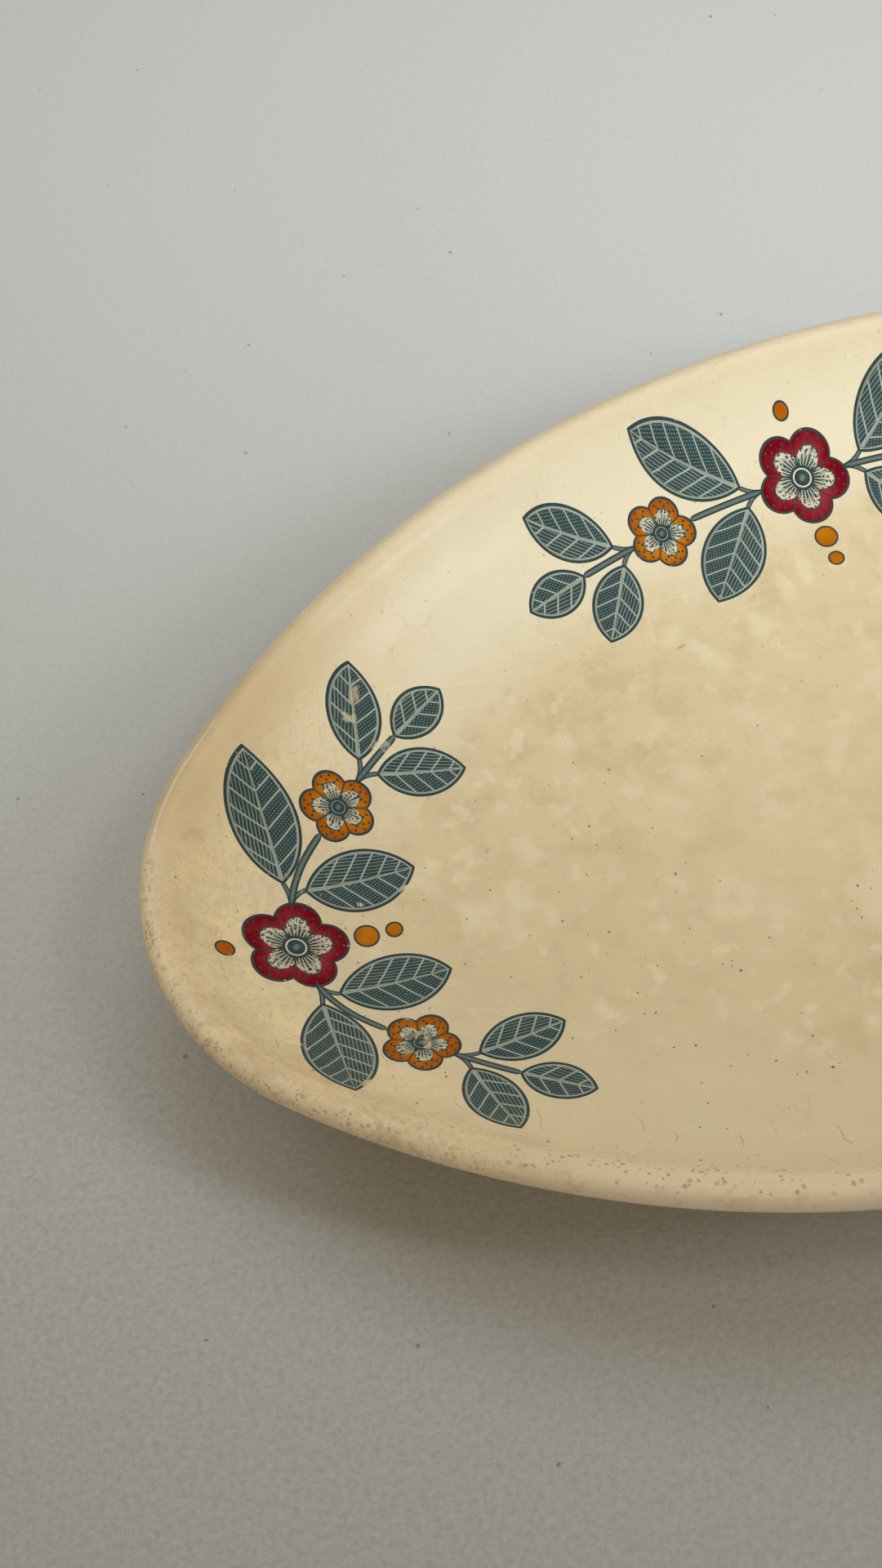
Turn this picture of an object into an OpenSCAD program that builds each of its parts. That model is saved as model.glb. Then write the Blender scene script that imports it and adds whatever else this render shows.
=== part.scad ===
// Oval appetizer dish: one press-moulded piece of earthenware under a cream glaze, with a printed
// and tinted garland at each end and on one long side. The plan is a four-centre oval, and the same
// wall section runs all the way round it. Millimetres, +Z up: the foot stands on Z = 0 and the dish is
// centred on the origin, with its length along X.

/* [Dish] */
// Overall length, over the glaze
dish_length = 240; // [215:1:280]
// Overall width, over the glaze
dish_width = 148; // [130:1:170]
// Height of the lip's top above the table
dish_height = 25; // [20:0.5:32]
// Thickness of the wall and floor, over the glaze
wall = 3.8; // [3.2:0.1:5]
// Plan distance from the lip's outer edge to the flat floor
wall_run = 39; // [32:0.5:44]
// Plan radius of the flat floor's two ends
floor_end_r = 2; // [1:0.5:8]
// How far the rolled lip stands proud of the wall on each side
lip_bead = 0.2; // [0.1:0.05:0.8]

/* [Foot] */
// Height of the floor's underside above the table
foot_height = 4; // [2.5:0.1:7]
// Width of the face that the foot stands on, over the glaze
foot_wall = 4; // [3:0.1:6]
// How much wider the foot gets on each side, from the table up to the middle of the floor
foot_flare = 1.6; // [0.5:0.1:3]
// Plan distance from the lip to the foot at the two ends
foot_end_set = 44; // [38:1:52]
// Plan distance from the lip to the foot on the two long sides
foot_side_set = 31; // [26:1:36]
// Plan radius of the foot's two ends
foot_end_r = 24; // [16:1:30]

/* [Glaze] */
// Thickness of the glaze
glaze = 0.35; // [0.2:0.05:0.6]
// Height of the band that is wiped bare of glaze at the bottom of the foot
bare_band = 1.2; // [0.6:0.1:2]

/* [Garlands] */
// Thickness of the fired print and tints, which lie on the glaze
ink = 0.1; // [0.06:0.02:0.2]
// Plan distance from the lip to the branch that the leaves and rosettes sit along
branch_inset = 20; // [18:0.5:23]
// Radius of the crimson rosette in the middle
crimson_r = 7.4; // [6:0.1:8]
// Radius of the two orange rosettes
orange_r = 5.4; // [4:0.1:6]
// Distance along the branch from the crimson rosette's centre to an orange one's
orange_step = 25; // [24.5:0.5:28]
// Distance along the branch from a long leaf's root to its tip
leaf_reach = 13; // [10:0.5:13.5]
// Distance from the branch to the tips of the long leaves
leaf_spread = 14; // [11:0.5:14.5]
// Width of the long leaves
leaf_width = 10; // [7:0.5:10.5]
// Width of the short leaves at the garland's ends
short_leaf_width = 8; // [5:0.5:8.5]
// Width of the twigs
twig_width = 1.2; // [0.8:0.1:1.6]
// Gap between a twig and a rosette
twig_gap = 0.4; // [0.2:0.1:1]
// Distance from a twig's start to the root of its leaves
root_step = 2.2; // [2:0.1:3]
// Distance from the branch to the roots of the paired leaves
root_off = 1.5; // [1.3:0.1:2]
// Radius of the largest of the three drops
drop_r = 1.9; // [1:0.1:2.4]

/* [Hidden] */
$fn = 96;
GARLANDS = ["right", "back", "left"];

biscuit_colour = [0.86, 0.76, 0.60];
glaze_colour = [0.92, 0.86, 0.70];
ink_colour = [0.16, 0.29, 0.33];
crimson_colour = [0.62, 0.08, 0.18];
orange_colour = [0.86, 0.48, 0.10];

// Arcs that meet end to end are kept to whole microns, so that they meet exactly.
function micron(x) = round(x * 1000) / 1000;

// A four-centre oval is [x of an end arc's centre, end radius, side radius, angle of the line through the
// two centres where an end arc meets a side arc, distance of a side arc's centre past the long axis].
function four_centre(half_l, half_w, end_r) =
    let (
        end_x = half_l - end_r,
        side_r = micron((end_x * end_x + half_w * half_w - end_r * end_r) / (2 * (half_w - end_r))),
        joint = acos(end_x / (side_r - end_r))
    )
    [end_x, end_r, side_r, joint, (side_r - end_r) * sin(joint)];

half_l = dish_length / 2;
half_w = dish_width / 2;
rim_end_r = wall_run + floor_end_r;
rim = four_centre(half_l, half_w, rim_end_r);
foot_half_w = half_w - foot_side_set;
foot = four_centre(half_l - foot_end_set, foot_half_w, foot_end_r);

// The middle line of the wall is one arc, level at the floor and rising to the centre of the lip.
floor_mid = foot_height + wall / 2;
lip_r = wall / 2 + lip_bead;
lip_z = dish_height - lip_r;
mid_run = wall_run - lip_r;
mid_rise = lip_z - floor_mid;
rise_angle = 2 * atan(mid_rise / mid_run);
mid_r = micron(mid_run / sin(rise_angle));
arc_centre = [-wall_run, floor_mid + mid_r];
foot_top = floor_mid;

// Sections that reach the long axis run this far past it, and sectors this far past a plane of symmetry.
axis_spare = 1;
sector_spare = 4;

// Carries a section round an oval. The section has its outer edge at x = 0. The first child serves the
// end arcs and the last one the side arcs. A quarter is cut at the planes of symmetry and mirrored.
module round_oval(o) {
    for (flip_x = [0, 1], flip_y = [0, 1]) mirror([flip_x, 0, 0]) mirror([0, flip_y, 0]) intersection() {
        translate([o[0], 0, 0]) rotate(o[3]) {
            rotate_extrude(angle = o[3] + sector_spare, start = -o[3] - sector_spare)
                translate([o[1], 0]) children(0);
            translate([o[1] - o[2], 0, 0])
                rotate_extrude(angle = 90 - o[3] + sector_spare) translate([o[2], 0]) children($children - 1);
        }
        translate([0, 0, -dish_height]) cube([dish_length, dish_width, 3 * dish_height]);
    }
}

// Band between two radii about the wall's arc, from the floor's edge to the lip.
module wall_band(inner_r, outer_r) {
    reach = 2 * mid_r;
    translate(arc_centre) intersection() {
        difference() {
            circle(outer_r);
            circle(inner_r);
        }
        translate([0, -reach]) square(reach);
        rotate(rise_angle) translate([-reach, -reach]) square(reach);
    }
}

// Section of the lip, wall and floor, with its surface taken down by skin. The floor reaches inwards
// as far as reach from the lip's outer edge.
module dish_section(skin, reach) {
    half = wall / 2 - skin;
    wall_band(mid_r - half, mid_r + half);
    translate([-lip_r, lip_z]) circle(lip_r - skin);
    translate([-reach, floor_mid - half]) square([reach - wall_run, 2 * half]);
}

module dish_shell(skin) {
    round_oval(rim) {
        dish_section(skin, rim_end_r);
        dish_section(skin, half_w + axis_spare);
    }
}

// Foot ring from the table up into the floor, with its two sides taken in by skin.
module foot_ring(skin) {
    round_oval(foot) polygon([
        [-skin, 0], [foot_flare - skin, foot_top],
        [-foot_wall - foot_flare + skin, foot_top], [-foot_wall + skin, 0]
    ]);
}

// Everything inside the middle line of the foot, up to the middle of the floor.
module foot_well() {
    module well_section(reach) translate([-reach, -bare_band])
        square([reach - foot_wall / 2, foot_top + bare_band]);
    round_oval(foot) {
        well_section(foot_end_r);
        well_section(foot_half_w + axis_spare);
    }
}

module biscuit() {
    dish_shell(glaze);
    foot_ring(glaze);
}

// All the glaze: the glazed form less the biscuit and less the band wiped off the foot.
module all_glaze() {
    difference() {
        union() {
            dish_shell(0);
            foot_ring(0);
        }
        biscuit();
        translate([-half_l, -half_w, -bare_band]) cube([dish_length, dish_width, 2 * bare_band]);
    }
}

module earthenware_body() {
    color(biscuit_colour) biscuit();
}

module glaze_coat() {
    color(glaze_colour) difference() {
        all_glaze();
        foot_well();
    }
}

module foot_well_glaze() {
    color(glaze_colour) intersection() {
        all_glaze();
        foot_well();
    }
}

// Layer of fired colour on the inside of the dish, cut to the plan shapes given.
module colour_layer() {
    top_r = mid_r - wall / 2;
    module layer_section(reach) {
        wall_band(top_r - ink, top_r);
        translate([-reach, arc_centre.y - top_r]) square([reach - wall_run, ink]);
    }
    intersection() {
        round_oval(rim) {
            layer_section(rim_end_r);
            layer_section(half_w + axis_spare);
        }
        translate([0, 0, foot_height]) linear_extrude(dish_height) children();
    }
}

// Direction of the rim's normal, at a distance along the branch from the middle of a garland.
function branch_normal(middle, along) =
    let (
        end_r = rim[1] - branch_inset,
        side_r = rim[2] - branch_inset,
        end_reach = end_r * rim[3] * PI / 180,
        on_end = min(abs(along), end_reach),
        at_end = middle % 180 == 0
    )
    middle + sign(along) * 180 / PI
        * (at_end ? on_end / end_r + (abs(along) - on_end) / side_r : abs(along) / side_r);

// Point in plan at a distance along the branch and a distance in from the lip.
function rim_point(middle, along, inset) =
    let (
        normal = branch_normal(middle, along),
        on_end = abs(cos(normal)) >= cos(rim[3]),
        centre = on_end ? [sign(cos(normal)) * rim[0], 0] : [0, -sign(sin(normal)) * rim[4]],
        r = (on_end ? rim[1] : rim[2]) - inset
    )
    centre + r * [cos(normal), sin(normal)];

// Lance-shaped leaf between two points, bounded by two arcs.
module leaf(root, tip, width) {
    span = tip - root;
    length = norm(span);
    arc_r = (length * length + width * width) / (4 * width);
    translate(root) rotate(atan2(span.y, span.x)) intersection() {
        translate([length / 2, arc_r - width / 2]) circle(arc_r);
        translate([length / 2, width / 2 - arc_r]) circle(arc_r);
    }
}

// A rosette has five round petals about a heart. Both are shares of its radius.
heart_share = 0.26;
petal_share = 0.44;

module rosette(middle, along, r) {
    translate(rim_point(middle, along, branch_inset)) rotate(branch_normal(middle, along)) difference() {
        for (turn = [36 : 72 : 324]) rotate(turn) translate([r * (1 - petal_share), 0]) circle(r * petal_share);
        circle(r * heart_share);
    }
}

module heart(middle, along, r) {
    translate(rim_point(middle, along, branch_inset)) circle(r * heart_share);
}

// Places along the branch: where each twig starts, and where the leaves on it are rooted.
inner_twig = crimson_r + twig_gap;
inner_twig_end = orange_step - orange_r - twig_gap;
inner_root = inner_twig + root_step;
outer_twig = orange_step + orange_r + twig_gap;
outer_root = outer_twig + root_step;
end_root = outer_root + 3 * root_step;
outer_twig_end = end_root + 0.7 * root_step;
// The short leaves reach and spread this share as far as the long ones, and the leaf at the end is a share of both.
short_share = 0.78;
end_share = 0.85;

// Printed half of a garland, on one side of its middle: two twigs and five leaves.
module half_garland(middle, side) {
    function at(along, off) = rim_point(middle, side * along, branch_inset + off);
    leaf(at(inner_twig, 0), at(inner_twig_end, 0), twig_width);
    leaf(at(outer_twig, 0), at(outer_twig_end, 0), twig_width);
    leaf(at(end_root, 0), at(end_root + end_share * leaf_reach, 0), end_share * short_leaf_width);
    for (way = [-1, 1]) {
        leaf(at(inner_root, way * root_off), at(inner_root + leaf_reach, way * leaf_spread), leaf_width);
        leaf(at(outer_root, way * root_off), at(outer_root + short_share * leaf_reach, way * short_share * leaf_spread),
            short_leaf_width);
    }
    heart(middle, side * orange_step, orange_r);
}

module leaf_print(middle) {
    color(ink_colour) colour_layer() {
        for (side = [-1, 1]) half_garland(middle, side);
        heart(middle, 0, crimson_r);
    }
}

module crimson_tint(middle) {
    color(crimson_colour) colour_layer() rosette(middle, 0, crimson_r);
}

// Orange rosettes, and three drops in line with the crimson rosette.
drop_gap = 0.9;
drop_share = 0.7;
module orange_tint(middle) {
    small_r = drop_r * drop_share;
    near_drop = branch_inset + crimson_r + drop_gap + drop_r;
    color(orange_colour) colour_layer() {
        for (side = [-1, 1]) rosette(middle, side * orange_step, orange_r);
        translate(rim_point(middle, 0, near_drop)) circle(drop_r);
        translate(rim_point(middle, 0, near_drop + drop_r + drop_gap + small_r)) circle(small_r);
        translate(rim_point(middle, 0, branch_inset - crimson_r - drop_gap - small_r)) circle(small_r);
    }
}

earthenware_body();
glaze_coat();
foot_well_glaze();
for (i = [0 : len(GARLANDS) - 1]) {
    leaf_print(90 * i);
    crimson_tint(90 * i);
    orange_tint(90 * i);
}
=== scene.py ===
"""Oval appetizer dish.

A shallow pressed earthenware oval with a rolled lip, a low foot ring, an aged cream glaze and three
printed garlands. The dish is a section carried round a four-centre oval, and the prints are thin slabs
draped on its inside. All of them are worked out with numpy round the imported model, which gives the frame.
"""

import math
from collections import namedtuple

import bpy
import numpy as np
from bpy.props import FloatProperty, FloatVectorProperty, PointerProperty
from mathutils import Matrix, Vector


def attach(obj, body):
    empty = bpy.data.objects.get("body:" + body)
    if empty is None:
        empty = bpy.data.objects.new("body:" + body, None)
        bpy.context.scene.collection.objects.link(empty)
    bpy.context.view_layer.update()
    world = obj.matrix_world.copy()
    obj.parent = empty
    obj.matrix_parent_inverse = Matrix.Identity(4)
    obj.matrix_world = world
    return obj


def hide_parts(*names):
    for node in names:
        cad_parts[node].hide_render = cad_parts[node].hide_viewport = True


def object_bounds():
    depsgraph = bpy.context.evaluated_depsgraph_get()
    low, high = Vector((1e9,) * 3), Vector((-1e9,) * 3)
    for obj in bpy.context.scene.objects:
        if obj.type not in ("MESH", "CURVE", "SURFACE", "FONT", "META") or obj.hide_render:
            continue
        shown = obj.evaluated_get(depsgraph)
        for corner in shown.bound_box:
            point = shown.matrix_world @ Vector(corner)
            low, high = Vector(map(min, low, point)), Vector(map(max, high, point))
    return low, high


bl_info = {
    "name": "Oval Appetizer Dish",
    "version": (1, 0, 0),
    "blender": (4, 5, 0),
    "location": "3D View > Sidebar > Dish",
    "description": "Builds a glazed earthenware dish with printed garlands round a packed model",
    "category": "Object",
}

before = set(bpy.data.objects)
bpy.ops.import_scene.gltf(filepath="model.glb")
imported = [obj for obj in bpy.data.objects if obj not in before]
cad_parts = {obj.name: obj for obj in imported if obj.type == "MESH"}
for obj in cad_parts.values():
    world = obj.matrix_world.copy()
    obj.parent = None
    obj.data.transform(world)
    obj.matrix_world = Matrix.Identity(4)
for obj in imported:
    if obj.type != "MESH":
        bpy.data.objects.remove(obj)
CAD_BOX = [list(corner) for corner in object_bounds()]
CAD_SIZE = [high - low for low, high in zip(*CAD_BOX)]

MM = 0.001
BODY = "root"
GARLANDS = {"right": 0.0, "back": 0.5 * math.pi, "left": math.pi}


# Settings


def length(name, description, mm):
    """A length that a user may change, given in millimetres."""
    return FloatProperty(
        name=name, description=description, default=mm * MM, min=0.0, precision=5, unit="LENGTH"
    )


def coordinate(name, description, mm):
    """A coordinate that a user may change, given in millimetres."""
    return FloatProperty(name=name, description=description, default=mm * MM, unit="LENGTH")


def power(name, description, watts):
    """A lamp's power that a user may change, given in watts."""
    return FloatProperty(name=name, description=description, default=watts, unit="POWER")


def angle(name, description, degrees):
    """An angle that a user may change, given in degrees."""
    return FloatProperty(name=name, description=description, default=math.radians(degrees), unit="ROTATION")


def colour(name, description, default):
    """A linear colour that a user may change."""
    return FloatVectorProperty(
        name=name, description=description, default=default, subtype="COLOR", size=3, min=0.0, max=1.0
    )


class DishSizes(bpy.types.PropertyGroup):
    """Sizes of the body, its glaze and its foot."""

    dish_length: length("Length", "Length over the lip", CAD_SIZE[0] / MM)
    dish_width: length("Width", "Width over the lip", CAD_SIZE[1] / MM)
    dish_height: length("Height", "Height from the table to the top of the lip", CAD_SIZE[2] / MM)
    wall: length("Wall", "Thickness of the wall and floor", 3.8)
    wall_run: length("Wall run", "Plan width of the wall, from the lip to the flat floor", 39)
    floor_end_r: length("Floor end radius", "Radius of the flat floor's ends", 2)
    lip_bead: length("Lip bead", "How far the lip swells past the wall's faces", 0.2)
    lip_swell: length("Lip swell", "Length over which the wall swells into the lip", 4)
    lip_roll: length("Lip roll", "How far the inside of the wall swells up to the lip", 1.3)
    lip_reach: length("Lip reach", "Length over which the inside of the wall swells", 5.5)
    lip_soft: length("Lip softness", "Softness of the inner edge of the lip's top", 0.7)
    foot_height: length("Foot height", "Height of the floor's underside over the table", 4)
    foot_wall: length("Foot wall", "Width of the foot's resting face", 4)
    foot_flare: length("Foot flare", "How far each side of the foot leans out on its way up", 1.6)
    foot_end_set: length("Foot end set", "Distance from the lip in to the foot, at the ends", 44)
    foot_side_set: length("Foot side set", "Distance from the lip in to the foot, at the sides", 31)
    foot_end_r: length("Foot end radius", "Radius of the foot's ends", 24)
    foot_fillet: length("Foot fillet", "Radius of the glaze pooled in the foot's corners", 1.2)
    foot_edge: length("Foot edge", "Rounding of the foot's resting face", 0.5)
    glaze: length("Glaze", "Thickness of the glaze", 0.35)
    bare_band: length("Bare band", "Height of the band wiped free of glaze at the foot", 1.2)
    warp: length("Warp", "Most that the rim sinks in the kiln", 0.35)


class GarlandSizes(bpy.types.PropertyGroup):
    """Sizes of the printed garlands."""

    branch_inset: length("Branch inset", "Distance of the branch line in from the lip", 20)
    crimson_r: length("Crimson rosette", "Radius of the middle rosette", 7.4)
    orange_r: length("Orange rosette", "Radius of the side rosettes", 5.4)
    orange_step: length("Orange step", "Distance along the branch to a side rosette", 25)
    leaf_reach: length("Leaf reach", "How far a leaf reaches along the branch", 13)
    leaf_spread: length("Leaf spread", "How far a long leaf spreads from the branch", 14)
    leaf_width: length("Leaf width", "Width of a long leaf", 10)
    short_leaf_width: length("Short leaf width", "Width of a short leaf", 8)
    stem_width: length("Stem width", "Width of a twig", 1.05)
    stalk_width: length("Stalk width", "Width of a leaf's stalk", 0.75)
    twig_gap: length("Twig gap", "Gap between a twig and a rosette", 0.4)
    root_step: length("Root step", "Distance from a twig's start to its leaves' roots", 2.2)
    root_off: length("Root off", "Distance of a leaf's root from the branch line", 1.5)
    drop_r: length("Drop radius", "Radius of the largest drop", 1.9)
    drop_gap: length("Drop gap", "Gap between drops", 0.9)
    dot_r: length("Dot radius", "Radius of a stipple dot", 0.2)
    line: length("Line", "Width of the outlines", 0.42)
    fine_line: length("Fine line", "Width of the lines drawn on the petals", 0.28)
    ink_rise: length("Ink rise", "How far the ink stands over the glaze", 0.026)
    tint_rise: length("Tint rise", "How far the colours stand over the glaze", 0.013)
    print_sink: length("Print sink", "How far the prints reach into the glaze", 0.06)


class Finishes(bpy.types.PropertyGroup):
    """Colours of the glaze, the prints and the stage."""

    ivory: colour("Ivory", "Clean glaze on the far wall", (0.87, 0.76, 0.565))
    cream: colour("Cream", "Yellowed glaze on the near wall", (0.765, 0.635, 0.43))
    beige: colour("Beige", "Glaze stained by use in the well", (0.735, 0.595, 0.375))
    cloud: colour("Cloud", "Pale clouds in the well", (0.86, 0.75, 0.54))
    honey: colour("Honey", "Warm stain along the left end", (0.93, 0.735, 0.455))
    tan: colour("Tan", "Brownish blotches", (0.63, 0.455, 0.27))
    # Also used for painted shade: a darker line on the far lip's outer edge
    grime_and_shade: colour("Grime", "Old dirt along the lip", (0.30, 0.20, 0.11))
    speck: colour("Speck", "Iron specks", (0.07, 0.055, 0.04))
    # Partly paler, rubbed glaze and partly a painted highlight on the top of the lip in front
    crest: colour("Crest", "Rubbed glaze along the top of the lip", (0.88, 0.725, 0.52))
    # Painted shade: a darker tone over the outer side of the lip and the outside
    shaded_flank: colour("Flank", "Dulled glaze on the outer side of the lip", (0.77, 0.65, 0.485))
    pinhole: colour("Pinhole", "Brown pinholes along the lip", (0.37, 0.19, 0.085))
    # Painted highlights: small near-white glints along the lip
    painted_glint: colour("Chip", "Small chips in the lip", (0.93, 0.90, 0.83))
    rubbed: colour("Rubbed", "Bald places on the left end's lip", (0.90, 0.77, 0.56))
    ink: colour("Ink", "Printed ink", (0.006, 0.043, 0.056))
    faded_ink: colour("Faded ink", "Printed ink where it is thin", (0.034, 0.10, 0.118))
    film: colour("Film", "Veins and gaps in the leaves, greyed by a film of ink", (0.415, 0.45, 0.39))
    crimson: colour("Crimson", "Crimson enamel", (0.185, 0.0013, 0.0075))
    pink: colour("Pink", "Crimson enamel where it is thin", (0.33, 0.03, 0.042))
    orange: colour("Orange", "Orange enamel", (0.57, 0.20, 0.003))
    amber: colour("Amber", "Orange enamel where it is thick", (0.42, 0.093, 0.0015))
    clay: colour("Clay", "Bare earthenware", (0.60, 0.44, 0.29))
    table: colour("Table", "Floor of the stage", (0.52, 0.52, 0.52))
    table_dark: colour("Dark grain", "Dark grains of the floor", (0.30, 0.30, 0.29))
    table_light: colour("Light grain", "Light grains of the floor", (0.66, 0.66, 0.66))
    table_drift: colour("Drift", "Paler drifts on the floor", (0.62, 0.62, 0.62))
    table_speck: colour("Floor speck", "Dark specks on the floor", (0.10, 0.09, 0.08))


class StageSizes(bpy.types.PropertyGroup):
    """Where the camera stands and how the stage is lit."""

    azimuth: angle("Azimuth", "Turn of the camera about the dish", -9.76)
    elevation: angle("Elevation", "Height of the camera over the horizon", 56.54)
    roll: angle("Roll", "Tilt of the camera about its own axis", -9.44)
    distance: length("Distance", "Distance of the camera from its target", 324.71)
    target_x: coordinate("Target X", "Where the camera looks", -73.34)
    target_y: coordinate("Target Y", "Where the camera looks", 11.89)
    target_z: coordinate("Target Z", "Where the camera looks", 22.9)
    lens: FloatProperty(name="Lens", description="Focal length", default=52.125, unit="CAMERA")
    low_key: power("Low key", "Power of the lower spot in front", 10.8)
    high_key: power("High key", "Power of the higher spot in front", 5.6)
    front_fill: power("Front fill", "Power of the small lamp low in front", 0.7)
    rear_fill: power("Rear fill", "Power of the softbox behind", 0.72)
    top_fill: power("Top fill", "Power of the softbox overhead", 0.53)
    lamp_colour: colour("Lamp colour", "Colour of the lamps", (0.843, 0.957, 1.0))
    sky_colour: colour("Sky colour", "Colour of the even light all round", (1.0, 0.826, 0.572))
    sky: FloatProperty(name="Sky", description="Strength of the even light all round", default=0.362, min=0.0)


# Forms shared by the pieces

Oval = namedtuple("Oval", "end_x end_r side_r side_y joint")
Section = namedtuple("Section", "run half bead swell roll reach soft lip_r lip_z mid_r arc_z rise floor_mid")


def four_centre(half_length, half_width, end_r):
    """An oval of two end arcs and two side arcs that meet without a corner.

    The side radius is (e² + w² - r²) / 2(w - r), with e the end centre's place on the long axis, w the half
    width and r the end radius. The joint is the angle of the line through the two centres.
    """
    end_x = half_length - end_r
    side_r = (end_x**2 + half_width**2 - end_r**2) / (2 * (half_width - end_r))
    joint = math.acos(end_x / (side_r - end_r))
    return Oval(end_x, end_r, side_r, (side_r - end_r) * math.sin(joint), joint)


def dish_forms(sizes):
    """The rim's oval, the foot's oval and the section that is carried round the rim.

    The middle line of the wall is one arc, level at the floor's edge, that rises to the centre of the lip:
    tan(rise / 2) is the rise over the run, and the radius is the run over sin(rise).
    """
    half_length, half_width = sizes.dish_length / 2, sizes.dish_width / 2
    rim = four_centre(half_length, half_width, sizes.wall_run + sizes.floor_end_r)
    foot = four_centre(half_length - sizes.foot_end_set, half_width - sizes.foot_side_set, sizes.foot_end_r)
    half = sizes.wall / 2
    floor_mid = sizes.foot_height + half
    lip_r = half + sizes.lip_bead
    lip_z = sizes.dish_height - lip_r
    run = sizes.wall_run - lip_r
    rise = 2 * math.atan((lip_z - floor_mid) / run)
    mid_r = run / math.sin(rise)
    swell = (sizes.lip_bead, sizes.lip_swell, sizes.lip_roll, sizes.lip_reach, sizes.lip_soft)
    section = Section(sizes.wall_run, half, *swell, lip_r, lip_z, mid_r, floor_mid + mid_r, rise, floor_mid)
    return rim, foot, section


def oval_points(oval, normal, inset):
    """Plan points where the oval, moved inwards by inset, has the given normals.

    Each is the centre of its arc plus the radius along the normal.
    """
    c, s = np.cos(normal), np.sin(normal)
    on_end = np.abs(c) >= math.cos(oval.joint)
    x = np.where(on_end, np.sign(c) * oval.end_x, 0.0)
    y = np.where(on_end, 0.0, -np.sign(s) * oval.side_y)
    r = np.where(on_end, oval.end_r, oval.side_r) - inset
    return np.stack([x + r * c, y + r * s], -1)


def inset_of(oval, plan):
    """How far plan points lie inside the oval.

    This is the radius of the arc they face, less their distance from its centre.
    """
    x, y = np.abs(plan[..., 0]), np.abs(plan[..., 1])
    past_end = x - oval.end_x
    on_end = (past_end > 0) & (y <= past_end * math.tan(oval.joint))
    return np.where(on_end, oval.end_r - np.hypot(past_end, y), oval.side_r - np.hypot(x, y + oval.side_y))


def even_normals(oval, inset, count):
    """Normals of points evenly spaced along the oval moved inwards by inset."""
    end = (oval.end_r - inset) * oval.joint
    side = (oval.side_r - inset) * (math.pi / 2 - oval.joint)
    knots = np.cumsum([0, end, 2 * side, 2 * end, 2 * side, end])
    turns = [0, oval.joint, math.pi - oval.joint, math.pi + oval.joint, 2 * math.pi - oval.joint, 2 * math.pi]
    return np.interp(np.arange(count) / count * knots[-1], knots, turns)


def inside_height(section, inset):
    """Height of the glaze inside the dish at a distance in from the lip.

    It is the wall's upper arc, then the level floor. A bell curve swells the arc into the lip's roll, and a
    soft minimum keeps it under the lip's top.
    """
    across = np.maximum(section.run - inset, 0.0)
    arc = section.arc_z - np.sqrt((section.mid_r - section.half) ** 2 - across**2)
    face = arc + section.roll * np.exp(-(((inset - section.lip_r) / section.reach) ** 2))
    over = (face - section.lip_z - section.lip_r) / section.soft
    return face - section.soft * np.logaddexp(0.0, over)


def inside_face(section, inset, skin):
    """(inset, height) inside the dish, skin below the glaze.

    The height drops by skin times the slope's secant.
    """
    step = 0.05 * MM
    slope = (inside_height(section, inset + step) - inside_height(section, inset - step)) / (2 * step)
    return inset, inside_height(section, inset) - skin * np.sqrt(1 + slope**2)


def inner_wall(section, turn, skin):
    """(inset, height) up the inside of the wall, by the angle about the wall's arc."""
    return inside_face(section, section.run - (section.mid_r - section.half) * np.sin(turn), skin)


def outer_wall(section, turn, skin):
    """(inset, height) on the outside of the wall, skin below the glaze, by the angle about the wall's arc.

    The radius is the middle one plus half the wall, which swells by the bead times a bell curve towards the
    lip.
    """
    to_lip = (section.rise - turn) * section.mid_r
    r = section.mid_r + section.half + section.bead * np.exp(-((to_lip / section.swell) ** 2)) - skin
    return section.run - r * np.sin(turn), section.arc_z - r * np.cos(turn)


def lip_face(section, sweep, skin):
    """(inset, height) over the lip, from the inside of the wall to the outside.

    Up to the lip's top this is the inside face. From there it is a circle about the middle of the lip.
    """
    before = np.maximum(section.rise - sweep, 0.0)
    past = np.maximum(sweep - section.rise, 0.0)
    inset, height = inside_face(section, section.lip_r + section.half * np.sin(before), skin)
    r = section.lip_r - skin
    inset = np.where(past > 0, section.lip_r - r * np.sin(past), inset)
    return inset, np.where(past > 0, section.lip_z + r * np.cos(past), height)


def under_height(section, inset, skin):
    """Height of the underside at a distance in from the lip: the wall's lower arc, then the level floor."""
    across = np.maximum(section.run - inset, 0.0)
    return section.arc_z - np.sqrt((section.mid_r + section.half - skin) ** 2 - across**2)


def settle(points, sizes, section):
    """The slight warp of firing, the same for every layer.

    Slow waves round the dish lower the rim and draw it in. They grow with the square of the height over the
    floor, so the floor and foot stay flat.
    """
    x, y, z = np.moveaxis(points, -1, 0)
    turn = np.arctan2(y / sizes.dish_width, x / sizes.dish_length)
    wave = 0.5 + 0.3 * np.sin(2 * turn + 0.7) + 0.2 * np.sin(3 * turn + 2.1)
    floor_top = section.floor_mid + section.half
    raised = np.clip((z - floor_top) / (sizes.dish_height - floor_top), 0.0, 1.0) ** 2
    sunk = sizes.warp * wave * raised
    drawn = 1 - 0.6 * sunk / sizes.dish_width
    return np.stack([x * drawn, y * drawn, z - sunk], -1)


# Meshes

# Points round the body, the coat and the glaze in the foot
BODY_SIDES, COAT_SIDES, WELL_SIDES = 480, 740, 360
# How far in from the rim and from the foot's outer edge those points are evenly spaced
RIM_SPACING_INSET, FOOT_SPACING_INSET = 20 * MM, 6 * MM
# Fillet at the foot on the faces that lie hidden between body and glaze
HIDDEN_FILLET = 0.3 * MM


def lifted(plan, height):
    """Plan points with their heights."""
    return np.concatenate([plan, np.broadcast_to(height, plan.shape[:-1])[..., None]], -1)


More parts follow.
